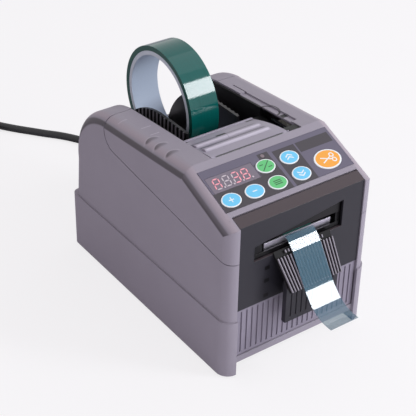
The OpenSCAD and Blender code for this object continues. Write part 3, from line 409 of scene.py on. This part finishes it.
# bare metals: pieces, then colour, roughness and stretch of the brushed lines
metalSet = {
    "bright_steel": (["feed_shaft", "pinch_shaft", "cradle_rods", "base_screws"], "#c3c6ca", 0.28),
    "blade_steel": (["fixed_blade", "moving_blade"], "#c9c5d2", 0.42, (1, 1, 0.05)),
    "zinc_plate": (["left_side_plate", "right_side_plate"], "#a9aeb4", 0.38, (1, 0.06, 1)),
    "bronze_bush": (["shaft_bearings", "motor_pinion"], "#b08d57", 0.32),
    "motor_can": (["feed_motor", "cutter_motor"], "#9da0a4", 0.3),
}
for make, table in ((plastic, plasticSet), (metal, metalSet)):
    for name, (pieces, *look) in table.items():
        dress(make(name, *look), *pieces)
print("plain solids dressed")

# grey mouldings: painted shade along the rounded long edges with a painted highlight above it, and
# on the top's rims engraved lines, scoops drawn as painted shade and painted highlight, a round
# boss, and a latch hole filled with painted shade
casingSet = {
    "looks": {
        "top_cover": ("top_moulding", "#99939f", 0.46, 0.22, 0.5, 0.5, 0.2, 0.4),
        "main_casing": ("casing_moulding", "#99939f", 0.5, 0.25, 0.5, 0.5, 0.2, 0.4),
    },
    # shade: painted shade for the rounded long edges and the scoops
    "shade": "#3f393f",
    # gleam: painted highlight on the upper part of the rounded long edges
    "gleam": "#b7a9b2",
    "line": "#c4bdc9",
    "gap": "#17151a",
    "lines": ((-56.5, 40.4, 3.9), (-48.7, 20.6, 4.2), (-49.4, 7.7, 3.8)),  # x, y, half length
    "scoopX": -56,
    "scoopSize": (6, 3.4),
    "scoops": (1.5, -10, -24.5),  # y of each
    "boss": (40, -12.5, 6, 9),  # x, y, half width, half length
    "latch": (42.6, -26, 2.6, 2.4),  # the same
}


def rimMarks(p, spot, base, shine, height):
    c = casingSet
    x, y, _ = p.split(spot)
    nx, ny, nz = p.split(p.normal())
    y = y - casingY
    # painted shade: a dark band on the rounded long edges where they lean between side and top
    leaning = inside((abs(nz - 0.36) - 0.21) * 10, 0.5)
    dark = leaning * inside(0.6 - abs(nx), 0.08) * inside(-0.3 - ny, 0.2)
    base = p.blend(base, tint(c["shade"]), dark * 0.88)
    # painted highlight: a pale band on the rounded edges just below the top
    gleam = inside((abs(nz - 0.83) - 0.13) * 10, 0.8) * inside(0.12 - abs(nx), 0.1)
    base = p.blend(base, tint(c["gleam"]), gleam * 0.5)
    up = inside(0.55 - nz, 0.1)
    for lineX, lineY, half in c["lines"]:
        cut = inside(block(x - lineX, y - lineY, half, 0.35), 0.2) * up
        base = p.blend(base, tint(c["line"]), cut * 0.75)
        height = height + cut * 2
    wide, deep = c["scoopSize"]
    # scoops drawn only in colour: painted shade in the hollow and a painted highlight along the
    # rear arch
    for place in c["scoops"]:
        u, v = (x - c["scoopX"]) / wide, (y - place) / deep
        reach = reachOf(u, v)
        scoopGlint = inside(abs(reach - 1) - 0.12, 0.1) * inside(0 - v, 0.3) * up
        fade = (0.75 - u * 0.4).clip()
        scoopShade = inside(reach - 0.88, 0.1) * inside(0 - v - 0.35, 0.4) * up * fade
        base = p.blend(base, tint(c["shade"]), scoopShade * 0.75)
        base = p.blend(base, tint(c["line"]), scoopGlint * 0.35)
    bossX, bossY, bossWide, bossLong = c["boss"]
    ring = inside(abs(reachOf((x - bossX) / bossWide, (y - bossY) / bossLong) - 1) - 0.09, 0.06)
    # the boss ring is a dark joint; the latch hole's dark fill is painted shade
    latchX, latchY, latchWide, latchLong = c["latch"]
    hole = inside(block(x - latchX, y - latchY, latchWide, latchLong), 0.3)
    base = p.blend(base, tint(c["gap"]), ring.most(hole) * up * inside(abs(nx) - 0.5, 0.1))
    return base, shine - dark * 0.1, height


for name, look in casingSet["looks"].items():
    dress(plastic(*look, marks=rimMarks), name)

guideSet = {
    "look": ("#19181b", 0.34, 0.15, 0.45, 0.3, 0.1, 0.45),
    "ribs": 24.6,
    # pale: painted highlight for the rib tops
    "pale": "#8f8b95",
}


def guideMarks(p, spot, base, shine, height):  # painted highlight on the tops of the ribs on the outer faces
    x, _, _ = p.split(spot)
    nx, _, _ = p.split(p.normal())
    ribs = inside(guideSet["ribs"] - abs(x), 0.1) * inside(0.6 - abs(nx), 0.1)
    return p.blend(base, tint(guideSet["pale"]), ribs * 0.85), shine, height


dress(plastic("guide_moulding", *guideSet["look"], marks=guideMarks), "left_guide", "right_guide")

coverSet = {
    "look": ("#2a2930", 0.36, 0.12, 0.5, 0.4, 0.3, 0.35),
    "facet": "#453a3f",
    # notch: painted shade for the latch notches
    "notch": "#0b0a0c",
    "notchX": -30,
    "notchZ": (62, 75, 86),
    "notchSize": (2.2, 1.6),
}


def coverMarks(p, spot, base, shine, height):  # brown facet above the window, three latch notches filled with painted shade
    c = coverSet
    x, _, z = p.split(spot)
    _, ny, nz = p.split(p.normal())
    facet, ahead = inside(0.6 - nz, 0.05), inside(ny + 0.8, 0.05)
    base = p.blend(base, tint(c["facet"]), facet)
    for low in c["notchZ"]:
        # the notches' dark fill is painted shade
        notch = inside(block(x - c["notchX"], z - low, *c["notchSize"]), 0.15) * ahead
        base = p.blend(base, tint(c["notch"]), notch)
        height = height - notch * 5
    return base, shine - facet * 0.06, height


coverDark = plastic("cutter_cover_moulding", *coverSet["look"], marks=coverMarks)
dress(coverDark, "cutter_cover", "lower_chute")

rampSet = {
    "look": ("#3a373e", 0.38, 0.15, 0.4, 0.15, 0.0, 0.25),
    "top": (-104, 97),
    "angle": 53,
    # rib: painted highlight on the rib tops; gap: painted shade between the ribs
    "rib": "#87828c",
    "gap": "#0c0b0e",
    "glintDepth": 0.8,
}


def rampMarks(p, spot, base, shine, height):  # painted highlight on the rib tops over painted shade in the gaps
    _, y, z = p.split(spot)
    c, s = cos(radians(rampSet["angle"])), sin(radians(rampSet["angle"]))
    topY, topZ = rampSet["top"]
    out = (z - topZ) * c - (y - casingY - topY) * s
    # painted highlight near the rib tops, painted shade deeper in the gaps
    base = p.blend(tint(rampSet["gap"]), tint(rampSet["rib"]), inside(rampSet["glintDepth"] - out, 0.3))
    return base, shine + inside(out - rampSet["glintDepth"], 0.3) * 0.25, height


dress(plastic("ramp_moulding", *rampSet["look"], marks=rampMarks), "outlet_ramp")

boardSet = {
    "look": ("#1c5a35", 0.4, 0.1, 0.5, 0.2, 0.1),
    "track": "#2f7a4a",
    "trackPace": 0.22,
    "trackWide": 0.03,
    "pad": "#c9b37a",
    "padPace": 0.3,
    "padReach": 0.13,
}


def boardMarks(p, spot, base, shine, height):  # copper tracks and round pads
    c = boardSet
    black, white = (0, 0, 0), (1, 1, 1)
    bricks = {"Vector": spot, "Scale": c["trackPace"], "Mortar Size": c["trackWide"]}
    bricks.update({"Color1": black, "Color2": black, "Mortar": white})
    tracks = p.add("ShaderNodeTexBrick", None, bricks, "Fac")
    dots = {"Vector": spot, "Scale": c["padPace"]}
    pads = p.add("ShaderNodeTexVoronoi", None, dots, "Distance")
    base = p.blend(base, tint(c["track"]), tracks * 0.6)
    base = p.blend(base, tint(c["pad"]), inside(pads - c["padReach"], 0.03) * 0.9)
    return base, shine, height


dress(plastic("board_green", *boardSet["look"], marks=boardMarks), "control_board", "main_board")

stackSet = {"look": ("#5c5d62", 0.45, 0.4, 0.4, 0.2, 0.2), "pace": 6.0}


def stackMarks(p, spot, base, shine, height):  # stacked sheets of a transformer
    x, _, _ = p.split(spot)
    sheets = ((x * stackSet["pace"]).wave() * 0.5 + 0.5) ** 3
    return p.tone(base, 0.75 + sheets * 0.4), shine, height + sheets


dress(plastic("iron_stack", *stackSet["look"], marks=stackMarks), "transformer")
print("marked solids dressed")

# printed overlay: grey film with darker blocks, all in panel millimetres
overlaySet = {
    "grey": "#605b6e",
    "dark": "#342e35",
    "blocks": [  # x, s, half width, half height
        (-27.4, 24.2, 29.4, 8.6), (-6.7, 37.6, 8.3, 5.8), (-3.2, 46.9, 4.6, 3.5),
        (14.4, 32.1, 9.8, 16.6), (40.3, 44.4, 14.8, 4.4),
    ],
    "middle": 34.5,
    "half": (57, 18.5),
}


def overlayFinish():
    p = Paint("overlay_film")
    spot = p.place(onPanel(0, 0), (slope, 0, 0))
    u, v, _ = p.split(spot)
    fine = p.noise(spot, 0.3, 2.0, 0.6)
    broad = p.noise(spot, 30, 2.0)
    base = p.tone(tint(overlaySet["grey"]), 0.92 + fine * 0.08 + broad * 0.08)
    for x, s, halfX, halfS in overlaySet["blocks"]:
        mask = inside(block(u - x, v - s, halfX, halfS), 0.12)
        base = p.blend(base, tint(overlaySet["dark"]), mask * 0.95)
    rim = inside(0.5 - abs(block(u, v - overlaySet["middle"], *overlaySet["half"])), 0.1)
    return p.surface(
        Base_Color=base,
        Roughness=0.36 + fine * 0.1,
        Normal=p.bump(fine, 0.12, 0.02, p.softEdges(0.2)),
        Coat_Weight=rim * 0.1,
        Specular_IOR_Level=0.45,
    )


dress(overlayFinish(), "panel_overlay")

# keys: domed ovals with a white ring and a plain sign
keySet = {
    # share of the outline, height
    "rings": [(1.0, 0.1), (0.985, 0.24), (0.95, 0.33), (0.86, 0.38), (0.6, 0.45), (0.3, 0.49)],
    "bottom": -1.9,
    "white": "#eef3f5",
    "ink": "#1f3a28",
    "border": 0.875,
    "small": (7.9, 5.9),
    "large": (11.5, 8.5),
    "hues": {"blue": "#6fcbf3", "green": "#62c47a", "orange": "#f6a93f"},
    "keys": {  # x, s, size, hue
        "plus": (-47.2, 24, "small", "blue"),
        "minus": (-27.2, 24, "small", "blue"),
        "select": (-7.03, 24, "small", "green"),
        "mode": (-7.03, 39.5, "small", "green"),
        "up": (14.19, 39.5, "small", "blue"),
        "down": (14.19, 24, "small", "blue"),
        "cut": (40.5, 27.2, "large", "orange"),
    },
}


def keySign(name, u, v):
    if name == "plus":
        return block(u, v, 2.1, 0.4).least(block(u, v, 0.4, 2.1))
    if name == "minus":
        return block(u, v, 1.9, 0.4)
    if name in ("up", "down"):
        turn = 1 if name == "up" else -1
        chevrons = [block(u, v * turn + abs(u) * 0.62 - peak, 2.9, 0.5) for peak in (2.4, 0.1)]
        return chevrons[0].least(chevrons[1])
    if name == "mode":
        dashes = block(u + 3, v - 1.6, 1.6, 0.3).least(block(u - 3, v + 1.6, 1.6, 0.3))
        return bar(u, v, 40, 0, 5.4, 0.3).least(dashes)
    if name == "select":
        rows = [block(u, v - high, 3.2, 0.32) for high in (1.5, 0, -1.5)]
        return rows[0].least(rows[1]).least(rows[2])
    blades = bar(u, v, 24, -1.2, 4.6, 0.42).least(bar(u, v, -24, -1.2, 4.6, 0.42))
    return blades.least(hoop(u - 4.6, v - 2.2, 1.6, 0.42)).least(hoop(u - 4.6, v + 2.2, 1.6, 0.42))


def keyFinish(name, x, s, a, b, hue):
    p = Paint("key_" + name + "_print")
    spot = p.place(onPanel(x, s), (slope, 0, 0))
    u, v, _ = p.split(spot)
    fine = p.noise(spot, 0.3, 2.0, 0.6)
    base = p.tone(tint(keySet["hues"][hue]), 0.94 + fine * 0.1)
    sign = tint(keySet["ink" if hue == "green" else "white"])
    base = p.blend(base, sign, inside(keySign(name, u, v), 0.12))
    border = inside(keySet["border"] - reachOf(u / a, v / b), 0.012)
    base = p.blend(base, tint(keySet["white"]), border)
    shine, facing = 0.34 + fine * 0.08, p.bump(fine, 0.08, 0.02)
    return p.surface(Base_Color=base, Roughness=shine, Normal=facing, Specular_IOR_Level=0.45)


def makeKey(name, x, s, size, hue):
    a, b = keySet[size]
    bm = bmesh.new()
    bmesh.ops.create_circle(bm, cap_ends=True, segments=72, radius=1)
    bmesh.ops.scale(bm, vec=(a, b, 1), verts=bm.verts)
    bmesh.ops.translate(bm, vec=(0, 0, keySet["bottom"]), verts=bm.verts)
    top = bm.faces[:]
    wide, height = 1.0, keySet["bottom"]
    for share, n in keySet["rings"]:
        grown = bmesh.ops.extrude_face_region(bm, geom=top)["geom"]
        top, ring = only(BMFace, grown), only(BMVert, grown)
        bmesh.ops.scale(bm, vec=(share / wide, share / wide, 1), verts=ring)
        bmesh.ops.translate(bm, vec=(0, 0, n - height), verts=ring)
        wide, height = share, n
    bmesh.ops.recalc_face_normals(bm, faces=bm.faces)
    bmesh.ops.transform(bm, matrix=panelMatrix(x, s), verts=bm.verts)
    node = "key_" + name
    keep(bm, node + "_cap", keyFinish(name, x, s, a, b, hue), node, [node])


for name, values in keySet["keys"].items():
    makeKey(name, *values)
print("keys made")

# display: four figures of bars and points under a tinted window
displaySet = {
    "centre": (-36.8, 39.4), "pitch": 8.0, "high": 8.4, "wide": 4.8, "thick": 0.552, "gap": 0.25,
    "top": 0.12, "lean": 0.1, "point": 0.7, "pointOut": 1.5,
    "bars": {  # column, row, upright
        "a": (0, 1, 0), "b": (1, 0.5, 1), "c": (1, -0.5, 1), "d": (0, -1, 0),
        "e": (-1, -0.5, 1), "f": (-1, 0.5, 1), "g": (0, 0, 0),
    },
    "lit": ["abcefg", "", "abcdg", "abcdefg"],
    # the unlit bars' faint glow is painted glow; only the lit bars give real light
    "looks": [("figure_lit", "#e89aa6", 0.22), ("figure_pale_painted_glow", "#c9bfc6", 0.05)],
    "lamp": ("lamp_lens", "#7d6f76", 0.02),
}


def glowFinish(name, colour, glow):
    p = Paint(name)
    spot = p.place(onPanel(0, 0), (slope, 0, 0))
    fine = p.noise(spot, 0.8, 2.0)
    base = p.tone(tint(colour), 0.92 + fine * 0.14)
    shine = 0.3 + fine * 0.1
    return p.surface(Base_Color=base, Roughness=shine, Emission_Color=base, Emission_Strength=glow)


def colourFaces(verts, index):
    for vert in verts:
        for face in vert.link_faces:
            face.material_index = index


def makeFigure(bm, middle, lit):
    d = displaySet
    lean = Matrix.Identity(4)
    lean[0][1] = d["lean"]
    for key, (x, y, upright) in d["bars"].items():
        half = (d["high"] / 4 if upright else d["wide"] / 2) - d["gap"]
        made = bmesh.ops.create_circle(bm, cap_ends=True, segments=6, radius=1)["verts"]
        turn = Matrix.Rotation(pi / 2, 4, "Z") if upright else Matrix.Identity(4)
        spot = Matrix.Translation((x * d["wide"] / 2, y * d["high"] / 2, 0))
        shape = spot @ turn @ Matrix.Diagonal((half, d["thick"], 1, 1))
        bmesh.ops.transform(bm, matrix=Matrix.Translation(middle) @ lean @ shape, verts=made)
        colourFaces(made, 0 if key in lit else 1)
    made = bmesh.ops.create_circle(bm, cap_ends=True, segments=12, radius=d["point"])["verts"]
    corner = Vector((d["wide"] / 2 + d["pointOut"], -d["high"] / 2, 0))
    bmesh.ops.translate(bm, vec=middle + corner, verts=made)
    colourFaces(made, 1)


def makeFigures():
    d = displaySet
    bm = bmesh.new()
    for i, lit in enumerate(d["lit"]):
        makeFigure(bm, Vector((d["centre"][0] + (i - 1.5) * d["pitch"], d["centre"][1], 0)), lit)
    bmesh.ops.recalc_face_normals(bm, faces=bm.faces)
    grown = bmesh.ops.extrude_face_region(bm, geom=bm.faces[:])["geom"]
    bmesh.ops.translate(bm, vec=(0, 0, d["top"]), verts=only(BMVert, grown))
    bmesh.ops.recalc_face_normals(bm, faces=bm.faces)
    bmesh.ops.transform(bm, matrix=panelMatrix(0, 0), verts=bm.verts)
    looks = [glowFinish(*look) for look in d["looks"]]
    keep(bm, "display_figures", looks, "casing")


makeFigures()
dress(glowFinish(*displaySet["lamp"]), "status_led")
print("display made")

# roll: glossy green film on a pale card core
rollSet = {
    "centre": (59, 136), "outer": 45.48, "film": 41.52, "bore": 38.0, "half": 12.5,
    "filmRound": 0.25, "coreRound": 0.35, "coreGap": 0.02, "coreInset": 0.15,
    "steps": 192, "smooth": 20,
    "filmColour": "#095a55", "filmSide": "#0d4a42",
    "coreColour": "#c6d4e8", "coreSide": "#c9cfd8",
}


def makeRing(name, inner, outer, half, rounding, material, slot, node):
    y, z = rollSet["centre"]
    bm = bmesh.new()
    outline = ((-half, inner), (half, inner), (half, outer), (-half, outer))
    corners = [bm.verts.new(at(x, y, z + r)) for x, r in outline]
    sides = [bm.edges.new((corners[i], corners[(i + 1) % 4])) for i in range(4)]
    bmesh.ops.spin(
        bm, geom=corners + sides, cent=at(0, y, z), axis=(1, 0, 0),
        angle=2 * pi, steps=rollSet["steps"], use_merge=True,
    )
    bmesh.ops.remove_doubles(bm, verts=bm.verts, dist=1e-6)
    bmesh.ops.recalc_face_normals(bm, faces=bm.faces)
    sharp = [e for e in bm.edges if len(e.link_faces) == 2 and e.calc_face_angle() > 1]
    bmesh.ops.bevel(bm, geom=sharp, offset=rounding * mm, segments=2, **bevelKind)
    keep(bm, name, material, "roll", [node], rollSet["smooth"])


def rollPlace(p):  # spot, distance from the axis, and a mask of the flat sides
    y, z = rollSet["centre"]
    spot = p.place(at(0, y, z))
    _, v, w = p.split(spot)
    nx, _, _ = p.split(p.normal())
    return spot, reachOf(v, w), inside(0.7 - abs(nx), 0.05)


def filmRollFinish():
    p = Paint("green_film_roll")
    spot, reach, side = rollPlace(p)
    layers = p.layers(reach, 9.0, 2.0)
    streaks = p.noise(p.stretch(spot, 1, 0.05, 0.05), 1.2, 2.0)
    base = p.tone(tint(rollSet["filmColour"]), 0.85 + streaks * 0.3)
    base = p.blend(base, p.tone(tint(rollSet["filmSide"]), 0.6 + layers * 0.8), side)
    rough = 0.07 + side * 0.3 + streaks * 0.05
    facing = p.bump(layers * side + streaks * 0.1, 0.25, 0.05)
    return p.surface(Base_Color=base, Roughness=rough, Normal=facing, Specular_IOR_Level=0.42)


def cardCoreFinish():
    p = Paint("card_core")
    spot, reach, side = rollPlace(p)
    fibres = p.noise(p.stretch(spot, 0.5, 1, 1), 0.9, 4.0, 0.65)
    plies = p.layers(reach, 4.0, 1.0)
    base = p.tone(tint(rollSet["coreColour"]), 0.92 + fibres * 0.1)
    base = p.blend(base, p.tone(tint(rollSet["coreSide"]), 0.8 + plies * 0.4), side * 0.8)
    shine, facing = 0.5 + fibres * 0.15, p.bump(fibres, 0.2, 0.06)
    return p.surface(Base_Color=base, Roughness=shine, Normal=facing)


def makeRoll():
    r = rollSet
    film = (r["film"], r["outer"], r["half"], r["filmRound"])
    core = (r["bore"], r["film"] - r["coreGap"], r["half"] - r["coreInset"], r["coreRound"])
    makeRing("film_roll", *film, filmRollFinish(), "tape", "tape_roll")
    makeRing("card_core", *core, cardCoreFinish(), "core", "tape_core")


makeRoll()
print("roll made")

# hanging end of the film, out of the slot and down over the ramp
tailSet = {
    "half": 12.5, "thick": 0.36, "steps": 4, "strips": 8,
    "path": [
        (-100.6, 103.9), (-104.2, 101.6), (-107.1, 99), (-109.3, 96.5), (-111, 94),
        (-114, 89.6), (-119.4, 81.4), (-122.8, 76.2), (-124.6, 73.5), (-127.3, 69.9),
        (-132.2, 64.5), (-137.5, 60.4), (-143, 57.9), (-148.8, 56.7), (-155, 56.6),
    ],
    "look": ("hanging_film", "#3e6f86", 0.45),
    "webLook": ("running_film", "#0f6f62", 0.86),
}


def filmFinish(name, colour, alpha):
    p = Paint(name)
    spot = p.place()
    ripple = p.noise(p.stretch(spot, 0.25, 1, 1), 9, 2.0)
    fine = p.noise(spot, 1.5, 3.0)
    return p.surface(
        Base_Color=p.tone(tint(colour), 0.9 + ripple * 0.2),
        Roughness=0.05 + fine * 0.05,
        Alpha=alpha + fine * 0.06,
        Normal=p.bump(ripple, 0.08, 0.3),
        Specular_IOR_Level=1.0,
    )


def makeTail():
    t = tailSet
    bm = bmesh.new()
    line = [bm.verts.new(at(-t["half"], y, z)) for y, z in smoothPath(t["path"], t["steps"])]
    geom = [bm.edges.new(pair) for pair in zip(line, line[1:])]
    step = 2 * t["half"] / t["strips"] * mm
    for _ in range(t["strips"]):
        grown = bmesh.ops.extrude_edge_only(bm, edges=geom)["geom"]
        bmesh.ops.translate(bm, vec=(step, 0, 0), verts=only(BMVert, grown))
        geom = only(BMEdge, grown)
    bmesh.ops.recalc_face_normals(bm, faces=bm.faces)
    bmesh.ops.solidify(bm, geom=bm.faces[:], thickness=t["thick"] * mm)
    keep(bm, "film_tail", filmFinish(*t["look"]), "front_cover", ["tape_tail"], 60)


makeTail()
dress(filmFinish(*tailSet["webLook"]), "tape_web")
print("film made")

# roller cover: a curved lid with two grip ridges, a rear bar, cheeks and hinge pins
lidSet = {
    "look": ("#9f99a8", 0.34, 0.15, 0.5, 0.35, 0.15, 0.45),
    "left": -39.4, "right": 27.6, "hinge": (-47.269, 148.576), "barrel": 1.8, "end": -5.169,
    "drop": 10, "thick": 2.4, "count": 60,
    "ridges": (20, 31), "ridgeSpan": (-37.4, 20.6), "ridgeRadius": 3.6, "ridgeRound": 0.7,
    "proud": 1.6,
    # rear bar: before the end, above the lid
    "lip": ((3.2, -0.9), (2.9, 0.5), (2.4, 0.9), (0.9, 0.9), (0.35, 0.5), (0.05, -0.9)),
    "lipInset": 0.05,
    "cheek": 2.2, "pinch": (-23.969, 133.4), "foot": ((7, -4), (4.5, -6), (-4.5, -6), (-7, -4)),
    "pin": 1.0, "pinLong": 2.6, "pinOut": 1.2,
    # trough: painted shade; crest: painted highlight; gap: the hinge gap's dark line and the
    # painted shade in the slots
    "trough": "#4b4553", "crest": "#d6d1de", "line": "#5d5763", "gap": "#0d0c0f",
    "troughAt": (5, 1.6), "crestAt": (-1.2, 0.9),  # behind the ridge, half width
    # x, y, half width, half length
    "slots": ((-9.5, -18.6, 4.2, 1.6), (-36, -9.8, 3.2, 1.2), (22.8, -9.8, 3.2, 1.2)),
    "cross": (0, -11.4, 33, 0.16),
    "down": (-9, -27, 0.14, 9),
    "frontX": -6, "frontHalf": 30,
}


def lidHeight(y):
    t = (y - lidSet["hinge"][0]) / (lidSet["end"] - lidSet["hinge"][0])
    return lidSet["hinge"][1] + lidSet["barrel"] - lidSet["drop"] * max(0, t) ** 1.5


def slab(bm, outline, x0, x1):  # an outline along the machine made a solid across it
    face = bm.faces.new([bm.verts.new(at(x0, y, z)) for y, z in outline])
    grown = bmesh.ops.extrude_face_region(bm, geom=[face])["geom"]
    bmesh.ops.translate(bm, vec=((x1 - x0) * mm, 0, 0), verts=only(BMVert, grown))
    return only(BMFace, grown) + [face]


def arc(y, z, radius, angles):  # angles from the y axis, in degrees
    return [(y + radius * cos(radians(a)), z + radius * sin(radians(a))) for a in angles]


def lidMarks(p, spot, base, shine, height):  # painted shade in the troughs, painted highlight on the crests, dark slots filled with painted shade, and mould lines
    s = lidSet
    x, y, _ = p.split(spot)
    _, _, nz = p.split(p.normal())
    y = y - casingY

    def patch(middleX, middleY, halfX, halfY, soft):
        return inside(block(x - middleX, y - middleY, halfX, halfY), soft)

    low, high = s["ridgeSpan"]
    past = abs(x - (low + high) / 2) - (high - low) / 2  # beyond the ridges' ends
    behind, half = s["troughAt"]
    crestBehind, crestHalf = s["crestAt"]
    for back in s["ridges"]:
        ridgeY = s["end"] - back
        # painted shade in the trough behind each ridge and a painted highlight along its crest
        trough = inside(abs(y - (ridgeY + behind)) - half, 1.2) * inside(past, 1.5)
        base = p.blend(base, tint(s["trough"]), trough * 0.8)
        crest = inside(abs(y - (ridgeY + crestBehind)) - crestHalf, 0.8) * inside(past + 1, 1.0)
        base = p.blend(base, tint(s["crest"]), crest * 0.7)
    slots = patch(*s["slots"][0], 0.2)
    for values in s["slots"][1:]:
        slots = slots.most(patch(*values, 0.2))
    lines = patch(*s["cross"], 0.12).most(patch(*s["down"], 0.1))
    base = p.blend(base, tint(s["line"]), lines * 0.7)
    front = inside(y - s["hinge"][0] + 0.5, 0.2)
    front = front * inside(abs(x - s["frontX"]) - s["frontHalf"], 1.0)
    base = p.blend(base, tint(s["gap"]), front * 0.9)
    # the slots' dark fill is painted shade
    base = p.blend(base, tint(s["gap"]), slots * inside(0.5 - nz, 0.1))
    return base, shine, height - slots * 4


def makeLid():
    s = lidSet
    hy, hz = s["hinge"]
    bm = bmesh.new()
    ys = [hy + (s["end"] - hy) * i / s["count"] for i in range(s["count"] + 1)]
    nose = arc(hy, hz, s["barrel"], range(285, 95, -15))
    top = [(y, lidHeight(y)) for y in ys]
    under = [(y, lidHeight(y) - s["thick"]) for y in ys[:4:-3]]
    slab(bm, nose + top + under, s["left"], s["right"])
    for back in s["ridges"]:
        y = s["end"] - back
        z = lidHeight(y) + s["proud"] - s["ridgeRadius"]
        ends = slab(bm, arc(y, z, s["ridgeRadius"], range(168, 11, -6)), *s["ridgeSpan"])
        rims = dict.fromkeys(e for f in ends for e in f.edges if len(f.edges) > 8)
        bmesh.ops.bevel(bm, geom=list(rims), offset=s["ridgeRound"] * mm, segments=3, **bevelKind)
    lip = [(s["end"] - d, lidHeight(s["end"] - d) + h) for d, h in s["lip"]]
    slab(bm, lip, s["left"] + s["lipInset"], s["right"] - s["lipInset"])
    py, pz = s["pinch"]
    brow = [(y, lidHeight(y) - s["thick"] / 2) for y in ys[6::5]]
    foot = [(py + y, pz + z) for y, z in s["foot"]]
    for x in (s["left"], s["right"] - s["cheek"]):
        slab(bm, brow + foot, x, x + s["cheek"])
    for x in (s["left"] - s["pinOut"], s["right"] + s["pinOut"]):
        turn = Matrix.Translation(at(x, hy, hz)) @ Matrix.Rotation(pi / 2, 4, "Y")
        bmesh.ops.create_cone(
            bm, cap_ends=True, segments=32, radius1=s["pin"] * mm, radius2=s["pin"] * mm,
            depth=s["pinLong"] * mm, matrix=turn,
        )
    bmesh.ops.recalc_face_normals(bm, faces=bm.faces)
    finish = plastic("lid_moulding", *s["look"], marks=lidMarks)
    keep(bm, "roller_lid", finish, "roller_lid", ["roller_cover"], 28)


makeLid()
print("roller lid made")

# pale table and soft studio light
tableSet = {"half": 4, "colour": (0.86, 0.85, 0.89), "seen": (1.0, 0.99, 1.0), "whiter": 0.78}
lightSet = {
    "ambient": 0.52,
    "ambientColour": (1.0, 0.94, 0.99, 1),
    "lampColour": (0.95, 0.97, 1.0),
    "aim": (0, 0.02, 0.1),
    # name, azimuth, elevation, distance, size, power, lean
    "lamps": [
        ("key", 40, 33, 1.6, (0.25, 0.74), 12, 26),
        ("side", 100, 52, 1.8, (1.2, 1.2), 2.5, 0),
        ("front", 8, 12, 1.8, (1.4, 0.5), 6, 0),
    ],
}


def makeTable():
    bm = bmesh.new()
    bmesh.ops.create_grid(bm, x_segments=12, y_segments=12, size=tableSet["half"])
    mesh = bpy.data.meshes.new("table_top")
    bm.to_mesh(mesh)
    bm.free()
    table = bpy.data.objects.new("table_top", mesh)
    bpy.context.scene.collection.objects.link(table)
    p = Paint("pale_table")
    broad = p.noise(p.place(), 60, 2.0)
    base = p.tone(tableSet["colour"], 0.985 + broad * 0.03)
    matt = p.add("ShaderNodeBsdfDiffuse", None, {"Color": base})
    white = p.add("ShaderNodeEmission", None, {"Color": tableSet["seen"], "Strength": 1.0})
    seen = p.add("ShaderNodeLightPath", out="Is Camera Ray")
    p.close(p.add("ShaderNodeMixShader", None, {0: seen * tableSet["whiter"], 1: matt, 2: white}))
    mesh.materials.append(p.mat)


def makeLamps():
    aim = Vector(lightSet["aim"])
    for name, azimuth, elevation, away, size, power, lean in lightSet["lamps"]:
        a, e = radians(azimuth), radians(elevation)
        towards = Vector((sin(a) * cos(e), -cos(a) * cos(e), sin(e)))
        data = bpy.data.lights.new(name, "AREA")
        data.shape = "RECTANGLE"
        data.size, data.size_y = size
        data.energy = power
        data.color = lightSet["lampColour"]
        lamp = bpy.data.objects.new(name, data)
        lamp.location = aim + towards * away
        facing = (-towards).to_track_quat("-Z", "Y") @ Quaternion((0, 0, 1), radians(-lean))
        lamp.rotation_euler = facing.to_euler()
        bpy.context.scene.collection.objects.link(lamp)


def makeWorld():  # soft light, white where it is seen, mirrored or looked through
    world = bpy.data.worlds.new("studio")
    bpy.context.scene.world = world
    world.use_nodes = True
    tree = world.node_tree
    tree.nodes.clear()
    path = tree.nodes.new("ShaderNodeLightPath")
    seen = tree.nodes.new("ShaderNodeMath")
    through = tree.nodes.new("ShaderNodeMath")
    seen.operation = through.operation = "MAXIMUM"
    mix = tree.nodes.new("ShaderNodeMixShader")
    soft = tree.nodes.new("ShaderNodeBackground")
    white = tree.nodes.new("ShaderNodeBackground")
    end = tree.nodes.new("ShaderNodeOutputWorld")
    soft.inputs["Color"].default_value = lightSet["ambientColour"]
    soft.inputs["Strength"].default_value = lightSet["ambient"]
    white.inputs["Color"].default_value = (1, 1, 1, 1)
    white.inputs["Strength"].default_value = 1.0
    for source, target in (
        (path.outputs["Is Camera Ray"], seen.inputs[0]),
        (path.outputs["Is Glossy Ray"], seen.inputs[1]),
        (seen.outputs[0], through.inputs[0]),
        (path.outputs["Is Transmission Ray"], through.inputs[1]),
        (through.outputs[0], mix.inputs[0]),
        (soft.outputs[0], mix.inputs[1]),
        (white.outputs[0], mix.inputs[2]),
        (mix.outputs[0], end.inputs["Surface"]),
    ):
        tree.links.new(source, target)


makeTable()
makeLamps()
makeWorld()
bpy.context.scene.view_settings.view_transform = "Standard"

print("scene ready")
